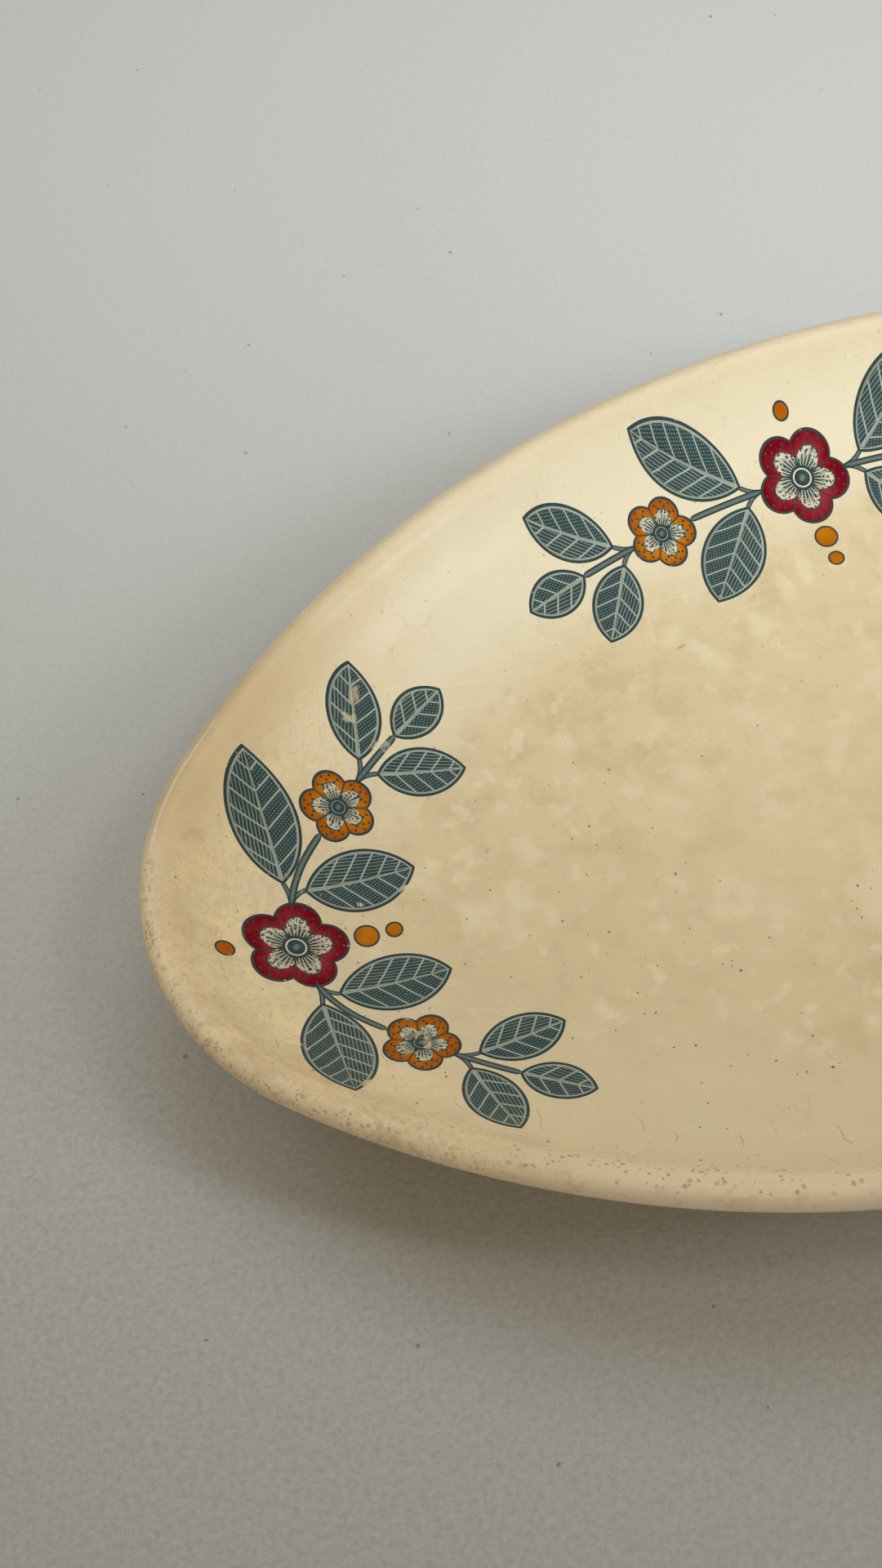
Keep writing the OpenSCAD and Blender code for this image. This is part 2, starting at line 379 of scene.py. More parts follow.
def new_piece(name, points, faces, traits, material, nodes, leaf_map=None, smooth=True):
    """A mesh piece from whole arrays, in place of CAD nodes. Faces is a list of arrays of corners."""
    mesh = bpy.data.meshes.new(name)
    corners = np.concatenate([f.ravel() for f in faces])
    starts = np.cumsum(np.concatenate([[0], *[np.full(len(f), f.shape[1]) for f in faces]]))[:-1]
    mesh.vertices.add(len(points))
    mesh.loops.add(len(corners))
    mesh.polygons.add(len(starts))
    mesh.vertices.foreach_set("co", points.astype(np.float32).ravel())
    mesh.polygons.foreach_set("loop_start", starts.astype(np.int32))
    mesh.polygons.foreach_set("vertices", corners.astype(np.int32))
    for trait, values in traits.items():
        layer = mesh.attributes.new(trait, "FLOAT", "POINT")
        layer.data.foreach_set("value", values.astype(np.float32).ravel())
    if leaf_map is not None:
        layer = mesh.uv_layers.new(name="print_map")
        layer.data.foreach_set("uv", leaf_map[corners].astype(np.float32).ravel())
    mesh.update(calc_edges=True)
    mesh.polygons.foreach_set("use_smooth", np.broadcast_to(smooth, len(starts)).astype(bool))
    if mesh.validate(verbose=False):
        raise RuntimeError(f"{name} has faces that Blender had to repair")
    mesh.materials.append(material)
    piece = bpy.data.objects.new(name, mesh)
    bpy.context.scene.collection.objects.link(piece)
    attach(piece, BODY)
    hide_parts(*nodes)
    return piece


def shell_faces(rings, count, inward=False):
    """Quads between rings, closed by a fan at each end's pole. Poles are the first and last vertices."""
    i = np.arange(rings - 1)[:, None] * count + 1
    j = np.arange(count)[None, :]
    k = (j + 1) % count
    quads = np.stack([i + j, i + j + count, i + k + count, i + k], -1).reshape(-1, 4)
    last = (rings - 1) * count + 1
    near = np.stack([np.zeros(count, int), 1 + j[0], 1 + k[0]], -1)
    far = np.stack([np.full(count, rings * count + 1), last + k[0], last + j[0]], -1)
    faces = [quads, near, far]
    return [f[:, ::-1] for f in faces] if inward else faces


def rings_at(oval, normals, inset, height):
    """One ring round the oval for each (inset, height) pair of a section."""
    plan = oval_points(oval, normals[None, :], np.asarray(inset)[:, None])
    return lifted(plan, np.asarray(height)[:, None])


def dish_inside(rim, section, normals, skin, floor_steps, wall_steps):
    """Rings from the middle of the floor out to the lip.

    The floor's rings are its edge drawn in towards the middle.
    """
    edge = rings_at(rim, normals, [section.run], [section.floor_mid + section.half - skin])
    share = np.linspace(0, 1, floor_steps + 1)[1:-1, None, None]
    floor = lifted(edge[..., :2] * share, edge[..., 2])
    turn = np.linspace(0, section.rise, wall_steps + 1)
    return np.concatenate([floor, rings_at(rim, normals, *inner_wall(section, turn, skin))])


def dish_outside(rim, foot, section, sizes, normals, skin, lip_steps, wall_steps, under_steps):
    """Rings over the lip, down the outer wall and under the dish to the corner of the foot.

    A third of the way up the wall the rings leave the rim's oval and pass to the foot's. They keep the
    underside's height over each plan point.
    """
    over = rings_at(rim, normals, *lip_face(section, np.linspace(0, math.pi, lip_steps + 1)[1:-1], skin))
    leave = 0.33 * section.rise
    turn = np.linspace(section.rise, leave, wall_steps + 1)
    down = rings_at(rim, normals, *outer_wall(section, turn, skin))
    corner = sizes.foot_flare * sizes.foot_height / section.floor_mid + sizes.foot_fillet - skin
    target = oval_points(foot, normals, -corner)
    share = np.linspace(0, 1, under_steps + 1)[1:, None, None]
    plan = down[-1, :, :2] * (1 - share) + target * share
    under = lifted(plan, under_height(section, inset_of(rim, plan), skin))
    return np.concatenate([over, down, under])


def foot_side(rim, foot, section, sizes, normals, skin, outer, fillet, low, steps):
    """Rings from the underside down one side of the foot to the height low.

    The side leans out in proportion to its height. A fillet of the given radius, a quarter circle, joins it
    to the underside.
    """
    lean = sizes.foot_flare / section.floor_mid

    def inset_at(z):
        return skin - lean * z if outer else sizes.foot_wall + lean * z - skin

    away = -1 if outer else 1
    join = inset_at(sizes.foot_height)
    turn = np.linspace(0, math.pi / 2, 6)
    plan = oval_points(foot, normals[None, :], (join + away * fillet * (1 - np.sin(turn)))[:, None])
    top = under_height(section, inset_of(rim, plan[-1]), skin)
    level = np.minimum(under_height(section, inset_of(rim, plan), skin), top)
    bend = lifted(plan, level - (fillet * (1 - np.cos(turn)))[:, None])
    share = np.linspace(0, 1, steps + 1)[1:, None]
    z = bend[-1, :, 2] * (1 - share) + low * share
    side = lifted(oval_points(foot, normals[None, :], inset_at(z)), z)
    return np.concatenate([bend, side])


def finish_shell(name, rings, poles, traits, material, nodes, sizes, section, inward=False):
    """A closed shell from a stack of rings and its two poles, settled with the other layers."""
    points = np.concatenate([[poles[0]], rings.reshape(-1, 3), [poles[1]]])
    points = settle(points, sizes, section)
    faces = shell_faces(rings.shape[0], rings.shape[1], inward)
    return new_piece(name, points, faces, traits, material, nodes)


# Shader nodes


class Finish:
    """A material and short names for the nodes that the finishes share.

    Noises and cells are scaled in waves or cells a metre, since Object coordinates are metres.
    """

    def __init__(self, name):
        self.material = bpy.data.materials.new(name)
        self.material.use_nodes = True
        self.tree = self.material.node_tree
        self.shader = self.tree.nodes["Principled BSDF"]
        self.place = self.node("ShaderNodeTexCoord").outputs["Object"]

    def put(self, socket, value):
        """Links a socket's value, or sets it."""
        if isinstance(value, bpy.types.NodeSocket):
            self.tree.links.new(value, socket)
        elif socket.type == "RGBA":
            socket.default_value = (*value, 1.0)
        else:
            socket.default_value = value

    def node(self, kind, inputs=None, **settings):
        """A new node with its settings and inputs."""
        node = self.tree.nodes.new(kind)
        for key, value in settings.items():
            setattr(node, key, value)
        for key, value in (inputs or {}).items():
            self.put(node.inputs[key], value)
        return node

    def sum(self, operation, *values):
        """One step of arithmetic."""
        return self.node("ShaderNodeMath", dict(enumerate(values)), operation=operation).outputs[0]

    def chain(self, operation, values):
        """The same step of arithmetic over several values."""
        out = values[0]
        for value in values[1:]:
            out = self.sum(operation, out, value)
        return out

    def times(self, *values):
        """The product of values."""
        return self.chain("MULTIPLY", values)

    def plus(self, *values):
        """The sum of values."""
        return self.chain("ADD", values)

    def most(self, *values):
        """The largest of values."""
        return self.chain("MAXIMUM", values)

    def less(self, value):
        """What is left of 1."""
        return self.sum("SUBTRACT", 1.0, value)

    def swing(self, value, amount):
        """A noise about zero, times an amount."""
        return self.times(self.sum("SUBTRACT", value, 0.5), amount)

    def ridge(self, value):
        """A triangle wave: 1 where value is whole, 0 half way between."""
        return self.sum("ABSOLUTE", self.sum("SUBTRACT", self.times(self.sum("FRACT", value), 2.0), 1.0))

    def fade(self, value, low, high, start=0.0, end=1.0):
        """A smooth step of value from low to high."""
        inputs = {"Value": value, "From Min": low, "From Max": high, "To Min": start, "To Max": end}
        return self.node("ShaderNodeMapRange", inputs, interpolation_type="SMOOTHSTEP").outputs["Result"]

    def drop(self, value, low, high):
        """A smooth step down from 1 at low to 0 at high."""
        return self.fade(value, low, high, 1.0, 0.0)

    def band(self, value, low, full, fall, high):
        """A smooth step up from low to full and down from fall to high."""
        return self.times(self.fade(value, low, full), self.drop(value, fall, high))

    def blend(self, share, first, second):
        """Two colours mixed by share."""
        return self.node("ShaderNodeMix", {0: share, 6: first, 7: second}, data_type="RGBA").outputs[2]

    def noise(self, scale, detail=4.0, roughness=0.5, distortion=0.0, place=None):
        """A cloudy noise between 0 and 1."""
        inputs = {"Vector": place or self.place, "Scale": scale, "Detail": detail}
        inputs.update({"Roughness": roughness, "Distortion": distortion})
        return self.node("ShaderNodeTexNoise", inputs).outputs["Fac"]

    def cells(self, scale, feature="F1", place=None):
        """Random cells: the distance in each, and a random number for it."""
        inputs = {"Vector": place or self.place, "Scale": scale}
        node = self.node("ShaderNodeTexVoronoi", inputs, feature=feature)
        if feature == "DISTANCE_TO_EDGE":
            return node.outputs["Distance"], None
        chance = self.node("ShaderNodeSeparateColor", {0: node.outputs["Color"]}).outputs[0]
        return node.outputs["Distance"], chance

    def laid(self, scale=(1.0, 1.0, 1.0), turn=(0.0, 0.0, 0.0), place=None):
        """Coordinates stretched and turned."""
        inputs = {"Vector": place or self.place, "Rotation": turn, "Scale": scale}
        return self.node("ShaderNodeMapping", inputs).outputs[0]

    def shaken(self, scale, amount, place=None):
        """Coordinates pushed about by a noise, which makes the edges of cells ragged."""
        place = place or self.place
        noise = self.node("ShaderNodeTexNoise", {"Vector": place, "Scale": scale, "Detail": 2.0})
        inputs = {0: noise.outputs["Color"], 1: (0.5,) * 3}
        push = self.node("ShaderNodeVectorMath", inputs, operation="SUBTRACT").outputs[0]
        inputs = {0: push, 1: (amount,) * 3, 2: place}
        return self.node("ShaderNodeVectorMath", inputs, operation="MULTIPLY_ADD").outputs[0]

    def specks(self, scale, share, small, large, place=None):
        """Scattered round marks: a share of the cells hold one.

        Its radius is a random one between small and large, as a share of a cell.
        """
        spot, chance = self.cells(scale, place=place)
        inputs = {"Value": chance, "From Min": 1.0 - share, "From Max": 1.0, "To Min": small, "To Max": large}
        size = self.node("ShaderNodeMapRange", inputs).outputs[0]
        edge = self.drop(self.sum("SUBTRACT", spot, size), -0.35 * small, 0.35 * small)
        return self.times(edge, self.sum("GREATER_THAN", chance, 1.0 - share))

    def trait(self, name):
        """A number that the mesh holds at each vertex."""
        return self.node("ShaderNodeAttribute", attribute_name=name).outputs["Fac"]

    def apart(self, vector):
        """The three numbers of a vector."""
        return self.node("ShaderNodeSeparateXYZ", {0: vector}).outputs

    def close(self, tone, gloss, height, depth, shine=0.5):
        """Puts the colour, roughness, shine and relief on the shader."""
        relief = self.node("ShaderNodeBump", {"Height": height, "Strength": 1.0, "Distance": depth})
        self.put(self.shader.inputs["Base Color"], tone)
        self.put(self.shader.inputs["Roughness"], gloss)
        self.put(self.shader.inputs["Specular IOR Level"], shine)
        self.put(self.shader.inputs["Normal"], relief.outputs["Normal"])
        return self.material


# Glaze and clay

# Depth of the relief on the glaze, the bare clay and the stage's floor
GLAZE_RELIEF, CLAY_RELIEF, FLOOR_RELIEF = 0.12 * MM, 0.15 * MM, 0.14 * MM
# Specular level of the ink and the enamels, which mirror less than the glaze
INK_SHINE, ENAMEL_SHINE = 0.20, 0.10
Field = namedtuple("Field", "inset outside inside x y left front drift mottle fine fret blotch tilted ragged")


def glaze_field(f):
    """The places and noises that the marks of the glaze share. Left and front rise to 1 at those sides."""
    inset, outside = f.trait("inset"), f.trait("outside")
    x, y, _ = f.apart(f.place)
    left, front = f.fade(x, -55 * MM, -110 * MM), f.fade(y, 30 * MM, -30 * MM)
    drift, mottle, fine = f.noise(17, 3, 0.55), f.noise(105, 6, 0.66, 0.15), f.noise(430, 5, 0.68)
    fret = f.sum("SUBTRACT", fine, 0.5)
    blotch = f.plus(f.noise(150, 4, 0.6, 0.1), f.times(fret, 0.35))
    tilted, ragged = f.laid(turn=(0.62, 0.48, 0.85)), f.shaken(1500, 0.7 * MM)
    noises = (drift, mottle, fine, fret, blotch)
    return Field(inset, outside, f.less(outside), x, y, left, front, *noises, tilted, ragged)


def stained_well(f, at, colours):
    """Colour of the wall and the well, and the well's mask.

    The wall is ivory at the back and cream in front. The well starts at a distance in from the lip that
    drifts. It is beige with brown mottling, round pale clouds and a few long smears.
    """
    reach = f.plus(at.inset, f.swing(at.drift, 20 * MM), f.swing(at.mottle, 10 * MM))
    well = f.times(f.fade(reach, 18 * MM, 36 * MM), at.inside)
    near = f.fade(f.plus(at.y, f.times(at.left, -20 * MM)), 45 * MM, -25 * MM)
    tone = f.blend(well, f.blend(near, colours.ivory, colours.cream), colours.beige)
    used = f.plus(0.06, f.times(well, f.fade(at.drift, 0.35, 0.62, 0.30, 0.62)))
    tone = f.blend(f.times(f.fade(at.blotch, 0.44, 0.72), used), tone, colours.tan)
    freckle = f.fade(f.noise(360, 4, 0.6, 0.0, at.tilted), 0.48, 0.72)
    tone = f.blend(f.times(freckle, well, f.fade(at.drift, 0.35, 0.62, 0.14, 0.30)), tone, colours.tan)
    cloud = f.plus(f.noise(125, 2, 0.45, 0.0, at.tilted), f.times(at.fret, 0.22))
    dab = f.plus(f.noise(290, 2, 0.45, 0.0, at.tilted), f.times(at.fret, 0.16), f.swing(at.mottle, 0.35))
    long = f.laid((2.6, 1.0, 1.0), (0.0, 0.0, -0.30))
    smear = f.plus(f.noise(62, 3, 0.5, 0.5, long), f.times(at.fret, 0.10))
    pale = f.most(
        f.fade(cloud, 0.55, 0.72, 0.0, 0.85),
        f.fade(dab, 0.58, 0.72, 0.0, 0.65),
        f.fade(smear, 0.64, 0.74, 0.0, 0.55),
    )
    pale = f.times(pale, well, f.fade(at.inset, 30 * MM, 60 * MM, 0.80, 0.46))
    return f.blend(pale, tone, colours.cloud), well


def stained_end(f, at, tone, colours):
    """Adds the left end's honey stain and smudges, a stain by its far lip, and tan along the whole lip."""
    warm = f.times(f.drop(at.inset, 10 * MM, 24 * MM), f.fade(at.blotch, 0.32, 0.60, 0.30, 1.0))
    tone = f.blend(f.times(warm, at.left, at.inside), tone, colours.honey)
    broad = f.fade(f.noise(95, 5, 0.66, 0.3, at.tilted), 0.49, 0.67)
    broad = f.times(broad, f.fade(at.inset, 4 * MM, 22 * MM, 0.75, 0.18))
    far = f.times(f.band(at.y, 10 * MM, 26 * MM, 40 * MM, 52 * MM), f.fade(at.mottle, 0.36, 0.60, 0.55, 1.0))
    far = f.times(far, f.fade(at.inset, 4 * MM, 13 * MM, 0.75, 0.0))
    small = f.fade(f.noise(520, 4, 0.65), 0.46, 0.68, 0.0, 0.40)
    tiny = f.fade(f.noise(1150, 3, 0.7), 0.50, 0.64, 0.0, 0.42)
    tone = f.blend(f.times(f.most(broad, small, tiny, far), at.left, at.inside), tone, colours.tan)
    near_lip = f.drop(f.plus(at.inset, f.swing(at.mottle, 14 * MM)), 1 * MM, 14 * MM)
    aged = f.plus(f.fade(at.drift, 0.42, 0.66, 0.03, 0.20), f.times(at.left, 0.22))
    return f.blend(f.times(near_lip, aged), tone, colours.tan)


def scratches(f, at):
    """Fine scratches on the lower wall, in two directions: noises drawn out to lines."""
    level = f.noise(92, 2, 0.5, 0.15, f.laid((0.75, 15.0, 1.0), (0.0, 0.0, 0.05)))
    slant = f.noise(92, 2, 0.5, 0.15, f.laid((0.6, 17.0, 1.0), (0.0, 0.0, -0.55)))
    lines = f.most(f.fade(level, 0.655, 0.70), f.fade(slant, 0.69, 0.73))
    zone = f.times(f.fade(at.inset, 8 * MM, 14 * MM), f.fade(at.inset, 26 * MM, 36 * MM, 1.0, 0.25))
    return f.times(lines, zone, at.inside, f.fade(f.noise(60, 2), 0.42, 0.60))


def hairlines(f, at):
    """Hair cracks: short wavy ones, 4.2 mm apart, on the front wall, and a faint net near the lip."""
    wave = f.plus(
        f.sum("DIVIDE", at.x, 4.2 * MM), f.times(f.noise(110, 2), 1.5), f.times(f.noise(900, 2), 0.12)
    )
    hair = f.sum("ABSOLUTE", f.sum("SUBTRACT", f.sum("FRACT", wave), 0.5))
    zone = f.times(f.band(at.inset, 6 * MM, 8 * MM, 14 * MM, 18 * MM), f.fade(f.noise(230, 1), 0.55, 0.60))
    crack, _ = f.cells(150, "DISTANCE_TO_EDGE", f.shaken(240, 3 * MM))
    net = f.times(f.drop(crack, 0.006, 0.020), f.fade(f.noise(75, 3), 0.54, 0.62))
    net = f.times(net, f.drop(at.inset, 22 * MM, 30 * MM), 0.22)
    return f.most(f.times(f.drop(hair, 0.010, 0.028), zone, at.front), net)


def iron_specks(f, at):
    """Dark specks of four sizes, fainter towards the back."""
    dust = f.times(f.specks(340, 0.62, 0.03, 0.085, at.ragged), f.fade(f.noise(45, 2), 0.28, 0.50))
    mote = f.times(f.specks(640, 0.38, 0.06, 0.13, at.ragged), f.fade(f.noise(38, 2), 0.30, 0.52))
    iron = f.specks(100, 0.50, 0.016, 0.040, at.ragged)
    drawn = f.laid((0.45, 1.2, 1.0), (0.0, 0.0, 0.1))
    fleck = f.specks(120, 0.18, 0.026, 0.055, f.shaken(1500, 0.6 * MM, drawn))
    return f.times(f.most(dust, mote, iron, fleck), 0.85, f.fade(at.y, 45 * MM, -35 * MM, 0.35, 1.0))


def lip_dirt_and_shade(f, at, lip, crest):
    """Dark marks: old dirt on the crest, in a groove along the left lip and splashed on the outside, painted
    shade on the far lip's edge, and a faint darkening over the whole outside.
    """
    ring = f.drop(f.sum("ABSOLUTE", f.sum("SUBTRACT", lip, 1.1 * MM)), 0.1 * MM, 0.4 * MM)
    broken = f.times(f.fade(f.noise(210, 5, 0.7), 0.50, 0.60), f.fade(f.noise(28, 1), 0.46, 0.54))
    groove = f.times(ring, broken, at.left, 0.55)
    stain = f.fade(f.noise(520, 4, 0.65), 0.50, 0.66)
    stain = f.times(crest, stain, f.plus(0.16, f.times(at.left, 0.18)))
    # Painted shade: a darker line along the far lip's outer edge
    edge = f.times(f.drop(lip, 1.6 * MM, 3.4 * MM), f.fade(at.mottle, 0.30, 0.60, 0.12, 0.32))
    edge = f.times(edge, f.fade(at.y, 5 * MM, 30 * MM), f.fade(at.left, 0.0, 0.8, 1.0, 0.85))
    splash = f.times(f.fade(at.outside, 0.35, 0.75), f.fade(f.noise(260, 5, 0.7), 0.54, 0.70, 0.0, 0.34))
    # A faint darkening over the whole outside
    film = f.times(at.outside, f.fade(at.mottle, 0.35, 0.75, 0.0, 0.08))
    return f.most(groove, stain, edge, splash, film)


def worn_lip(f, at, tone, colours):
    """Adds the lip: a pale crown in front, partly paler glaze and partly painted highlight, with brown
    pinholes; a flank darkened by painted shade; near-white specks painted as glints; rubs, pits, dirt, and
    painted shade on the far lip's edge.

    Returns the colour, and the pinholes, pits and rubbed places, which change the gloss and relief too.
    """
    lip = f.plus(at.inset, f.times(at.fret, 1.1 * MM), f.swing(at.mottle, 0.8 * MM))
    top = f.fade(lip, 0.6 * MM, 1.4 * MM)
    crown = f.drop(f.plus(at.inset, f.times(at.fret, 4 * MM)), 3.5 * MM, 6.5 * MM)
    crown = f.times(crown, top, at.inside)
    # The pale crown in front is partly paler glaze and partly a painted highlight on the top of the lip
    tone = f.blend(f.times(crown, at.front, f.fade(at.left, 0.0, 0.6, 0.70, 0.0)), tone, colours.crest)
    tone = f.blend(f.times(crown, f.fade(at.front, 0.0, 1.0, 0.24, 0.0)), tone, colours.tan)
    strip = f.times(f.band(at.inset, 1.0 * MM, 1.6 * MM, 4.5 * MM, 9.0 * MM), f.fade(at.mottle, 0.36, 0.52))
    strip = f.times(strip, at.inside, f.plus(0.06, f.times(at.front, 0.94)))
    holes = f.most(f.specks(1000, 0.72, 0.10, 0.38, at.ragged), f.specks(620, 0.55, 0.06, 0.26, at.ragged))
    pinhole = f.times(holes, strip, f.fade(at.x, -70 * MM, -100 * MM, 1.0, 0.30))
    tone = f.blend(f.times(pinhole, 0.70), tone, colours.pinhole)
    # Painted shade: the outer side of the lip and the outside are darkened, least at the left end
    shaded_flank = f.most(at.outside, f.less(top))
    tone = f.blend(f.times(shaded_flank, f.fade(at.left, 0.0, 0.7, 0.70, 0.05)), tone, colours.shaded_flank)
    # Painted highlights: small near-white specks along the lip stand in for glints
    painted_glint = f.specks(75, 0.55, 0.022, 0.045, f.laid((0.55, 1.0, 1.0)))
    painted_glint = f.times(painted_glint, f.band(at.inset, 0.8 * MM, 1.1 * MM, 1.8 * MM, 2.2 * MM))
    tone = f.blend(painted_glint, tone, colours.painted_glint)
    crest = f.plus(at.inset, f.times(at.fret, 2.2 * MM), f.times(at.left, -0.6 * MM))
    crest = f.drop(crest, 0.8 * MM, 2.8 * MM)
    bald = f.fade(f.plus(f.noise(150, 4, 0.6), f.times(at.left, 0.24)), 0.52, 0.68)
    rub = f.times(crest, bald, f.fade(at.left, 0.30, 0.90), f.fade(at.y, 26 * MM, 6 * MM))
    tone = f.blend(f.times(rub, 0.45), tone, colours.rubbed)
    pit = f.times(f.specks(1300, 0.72, 0.14, 0.40, at.ragged), f.most(rub, f.times(crest, 0.10)))
    # Pits, dirt, and painted shade on the far lip's edge
    tone = f.blend(f.most(f.times(pit, 0.42), lip_dirt_and_shade(f, at, lip, crest)), tone, colours.grime_and_shade)
    return tone, pinhole, pit, rub


def aged_glaze(f, colours):
    """Colour, roughness and relief of the old glaze, alike on every layer at the same place.

    A clean ivory wall turns to a stained well. Scratches, hair cracks and iron specks lie over both, and the
    lip is stained, pitted and rubbed, with painted shade on its outer side and painted highlights on its top.
    """
    at = glaze_field(f)
    tone, well = stained_well(f, at, colours)
    tone = stained_end(f, at, tone, colours)
    scratch, hairline, speck = scratches(f, at), hairlines(f, at), iron_specks(f, at)
    tone = f.blend(f.times(scratch, 0.42), tone, colours.cloud)
    tone = f.blend(f.times(hairline, at.inside, 0.45), tone, colours.grime_and_shade)
    tone = f.blend(speck, tone, colours.speck)
    tone, pinhole, pit, rub = worn_lip(f, at, tone, colours)
    tone = f.blend(f.fade(f.noise(1500, 3, 0.6), 0.3, 0.7, 0.0, 0.08), tone, colours.tan)
    marks = f.most(speck, f.times(pinhole, 0.5), pit)
    gloss = f.plus(
        f.fade(at.mottle, 0.35, 0.7, 0.13, 0.21), f.times(well, 0.07), f.times(scratch, 0.12),
        f.times(marks, 0.3), f.times(rub, 0.35),
    )
    relief = f.plus(
        f.times(f.noise(140, 2, 0.5), 0.5), f.times(at.fine, 0.05), f.times(hairline, -0.12),
        f.times(marks, -0.5), f.times(rub, at.fine, 1.2),
    )
    return tone, gloss, relief


def glaze_finish(colours):
    """Aged cream glaze."""
    f = Finish("aged_cream_glaze")
    return f.close(*aged_glaze(f, colours), GLAZE_RELIEF)


def clay_finish(colours):
    """Bare earthenware: warm clay with pores, pale grains and rubbed dirt."""
    f = Finish("bare_earthenware")
    mottle, grain = f.noise(60, 5, 0.6), f.noise(900, 4, 0.65)
    pore, chance = f.cells(700)
    pores = f.times(f.drop(pore, 0.15, 0.3), f.fade(chance, 0.6, 0.7))
    tone = f.blend(f.fade(mottle, 0.35, 0.7, 0.0, 0.5), colours.clay, colours.tan)
    tone = f.blend(f.fade(grain, 0.5, 0.75, 0.0, 0.4), tone, colours.ivory)
    tone = f.blend(f.times(pores, 0.6), tone, colours.grime_and_shade)
    gloss, relief = f.fade(mottle, 0.3, 0.7, 0.72, 0.9), f.plus(grain, f.times(pores, -0.8))
    return f.close(tone, gloss, relief, CLAY_RELIEF)


# Ink and enamel

# Kinds of printed ground, which the mesh holds as a number
SOLID, LINED, DOTTED, STEM, THROAT = 0.0, 1.0, 2.0, 3.0, 4.0
# Steps of the leaves' side veins and of the engraved lines, in the map's millimetres
VEIN_STEP, LINE_STEP = 2.7, 0.52


def worn_print(f, rubbed):
    """Where the print is gone: broad patches, as bare as rubbed says, and flakes.

    There are more of both at the left end.
    """
    age = f.fade(f.apart(f.place)[0], -65 * MM, -115 * MM)
    patch = f.plus(f.noise(95, 5, 0.68, 0.4), f.times(age, 0.07))
    flake = f.plus(f.noise(650, 4, 0.7), f.times(age, 0.05))
    return f.most(f.times(f.fade(patch, 0.66, 0.70), rubbed), f.fade(flake, 0.70, 0.74))


def leaf_ink(f, lined, dotted, along, across):
    """Ink in a leaf: one half in fine lines, the other solid with rows of small gaps, both cut by bare veins.

    The weight of the lines wanders. The veins lean out from the midrib.
    """
    wander = f.swing(f.noise(300, 3), 0.35)
    vein = f.plus(f.sum("SUBTRACT", along, f.times(across, 0.85)), wander)
    vein = f.sum("DIVIDE", vein, VEIN_STEP)
    weight = f.swing(f.noise(240, 3), 0.5)
    line = f.ridge(f.sum("DIVIDE", f.plus(across, f.times(along, 0.12), wander), LINE_STEP))
    engraved = f.fade(line, f.plus(0.58, weight), f.plus(0.90, weight), 1.0, 0.48)
    cross = f.ridge(f.sum("DIVIDE", f.plus(across, f.times(along, 0.5)), LINE_STEP))
    gaps = f.times(f.fade(f.ridge(f.times(vein, 5.0)), 0.50, 0.80), f.fade(cross, 0.50, 0.80))
    ink = f.plus(f.times(lined, engraved), f.times(dotted, f.less(f.times(gaps, 0.60))))
    midrib = f.drop(f.plus(across, f.times(along, 0.013)), 0.24, 0.36)
    bare = f.most(f.fade(f.ridge(vein), 0.84, 0.92), midrib, f.drop(f.trait("rim"), 0.26, 0.38))
    return f.times(ink, f.less(f.times(bare, 0.92)))


def throat_ink(f, along, across):
    """Ink in a petal's throat: rays that turn to stipple towards the end, closed by a solid edge."""
    ray = f.fade(f.ridge(f.times(along, 3.0)), 0.55, 0.9, 0.0, 0.80)
    stipple = f.times(f.fade(f.noise(2600, 1), 0.42, 0.58, 0.0, 0.95), f.fade(across, 0.15, 0.85))
    return f.less(f.times(f.most(ray, stipple), f.drop(across, 0.86, 0.98)))


def ink_finish(colours):
    """Engraved print: solid lines, and leaves with bare veins, one half in fine lines and the other stippled.

    The map gives millimetres along and across a leaf. Bare places show the glaze under the print.
    """
    f = Finish("engraved_ink")
    glaze, gloss, relief = aged_glaze(f, colours)
    kind = f.trait("hatch")
    along, across, _ = f.apart(f.node("ShaderNodeUVMap", uv_map="print_map").outputs[0])
    lined, dotted, stem, throat = (f.sum("COMPARE", kind, k, 0.3) for k in (LINED, DOTTED, STEM, THROAT))
    solid = f.less(f.plus(lined, dotted, stem, throat))
    stem_ink = f.fade(f.sum("ABSOLUTE", across), 0.25, 0.6, 0.70, 1.0)
    open_ink = throat_ink(f, along, across)
    leaf = leaf_ink(f, lined, dotted, along, across)
    share = f.plus(solid, leaf, f.times(stem, stem_ink), f.times(throat, open_ink))
    ink = f.blend(f.fade(f.noise(700, 3, 0.6), 0.42, 0.8, 0.0, 0.34), colours.ink, colours.faded_ink)
    worn = worn_print(f, f.plus(0.45, f.times(solid, 0.4)))
    cover = f.sum("SUBTRACT", 0.97, f.times(throat, f.less(open_ink), 0.8))
    tone = f.blend(f.times(f.less(worn), cover), glaze, f.blend(share, colours.film, ink))
    return f.close(tone, gloss, relief, GLAZE_RELIEF, INK_SHINE)


def enamel_finish(name, colours, deep, thin):
    """Hand-laid enamel: deep towards the petal's edge and thin towards its root, brushed along the petal.

    The map gives the place across the petal and along it from root to edge.
    """
    f = Finish(name)
    glaze, gloss, relief = aged_glaze(f, colours)
    chart = f.node("ShaderNodeUVMap", uv_map="print_map").outputs[0]
    along = f.apart(chart)[1]
    strokes = f.noise(1.0, 3, 0.6, 0.3, f.laid((7.0, 1.2, 1.0), place=chart))
    pool, wash = f.noise(330, 4, 0.6), f.noise(115, 2, 0.5)
    depth = f.plus(along, f.swing(strokes, 0.8), f.swing(pool, 0.5), f.swing(wash, 1.6))
    enamel = f.blend(f.fade(depth, 0.15, 0.95), thin, deep)
    root = f.fade(f.times(f.sum("SUBTRACT", 0.2, along), strokes), 0.02, 0.10, 0.0, 0.45)
    bare = f.most(f.fade(f.noise(620, 4, 0.7), 0.71, 0.75), root)
    return f.close(f.blend(bare, enamel, glaze), gloss, relief, GLAZE_RELIEF, ENAMEL_SHINE)


# Prints


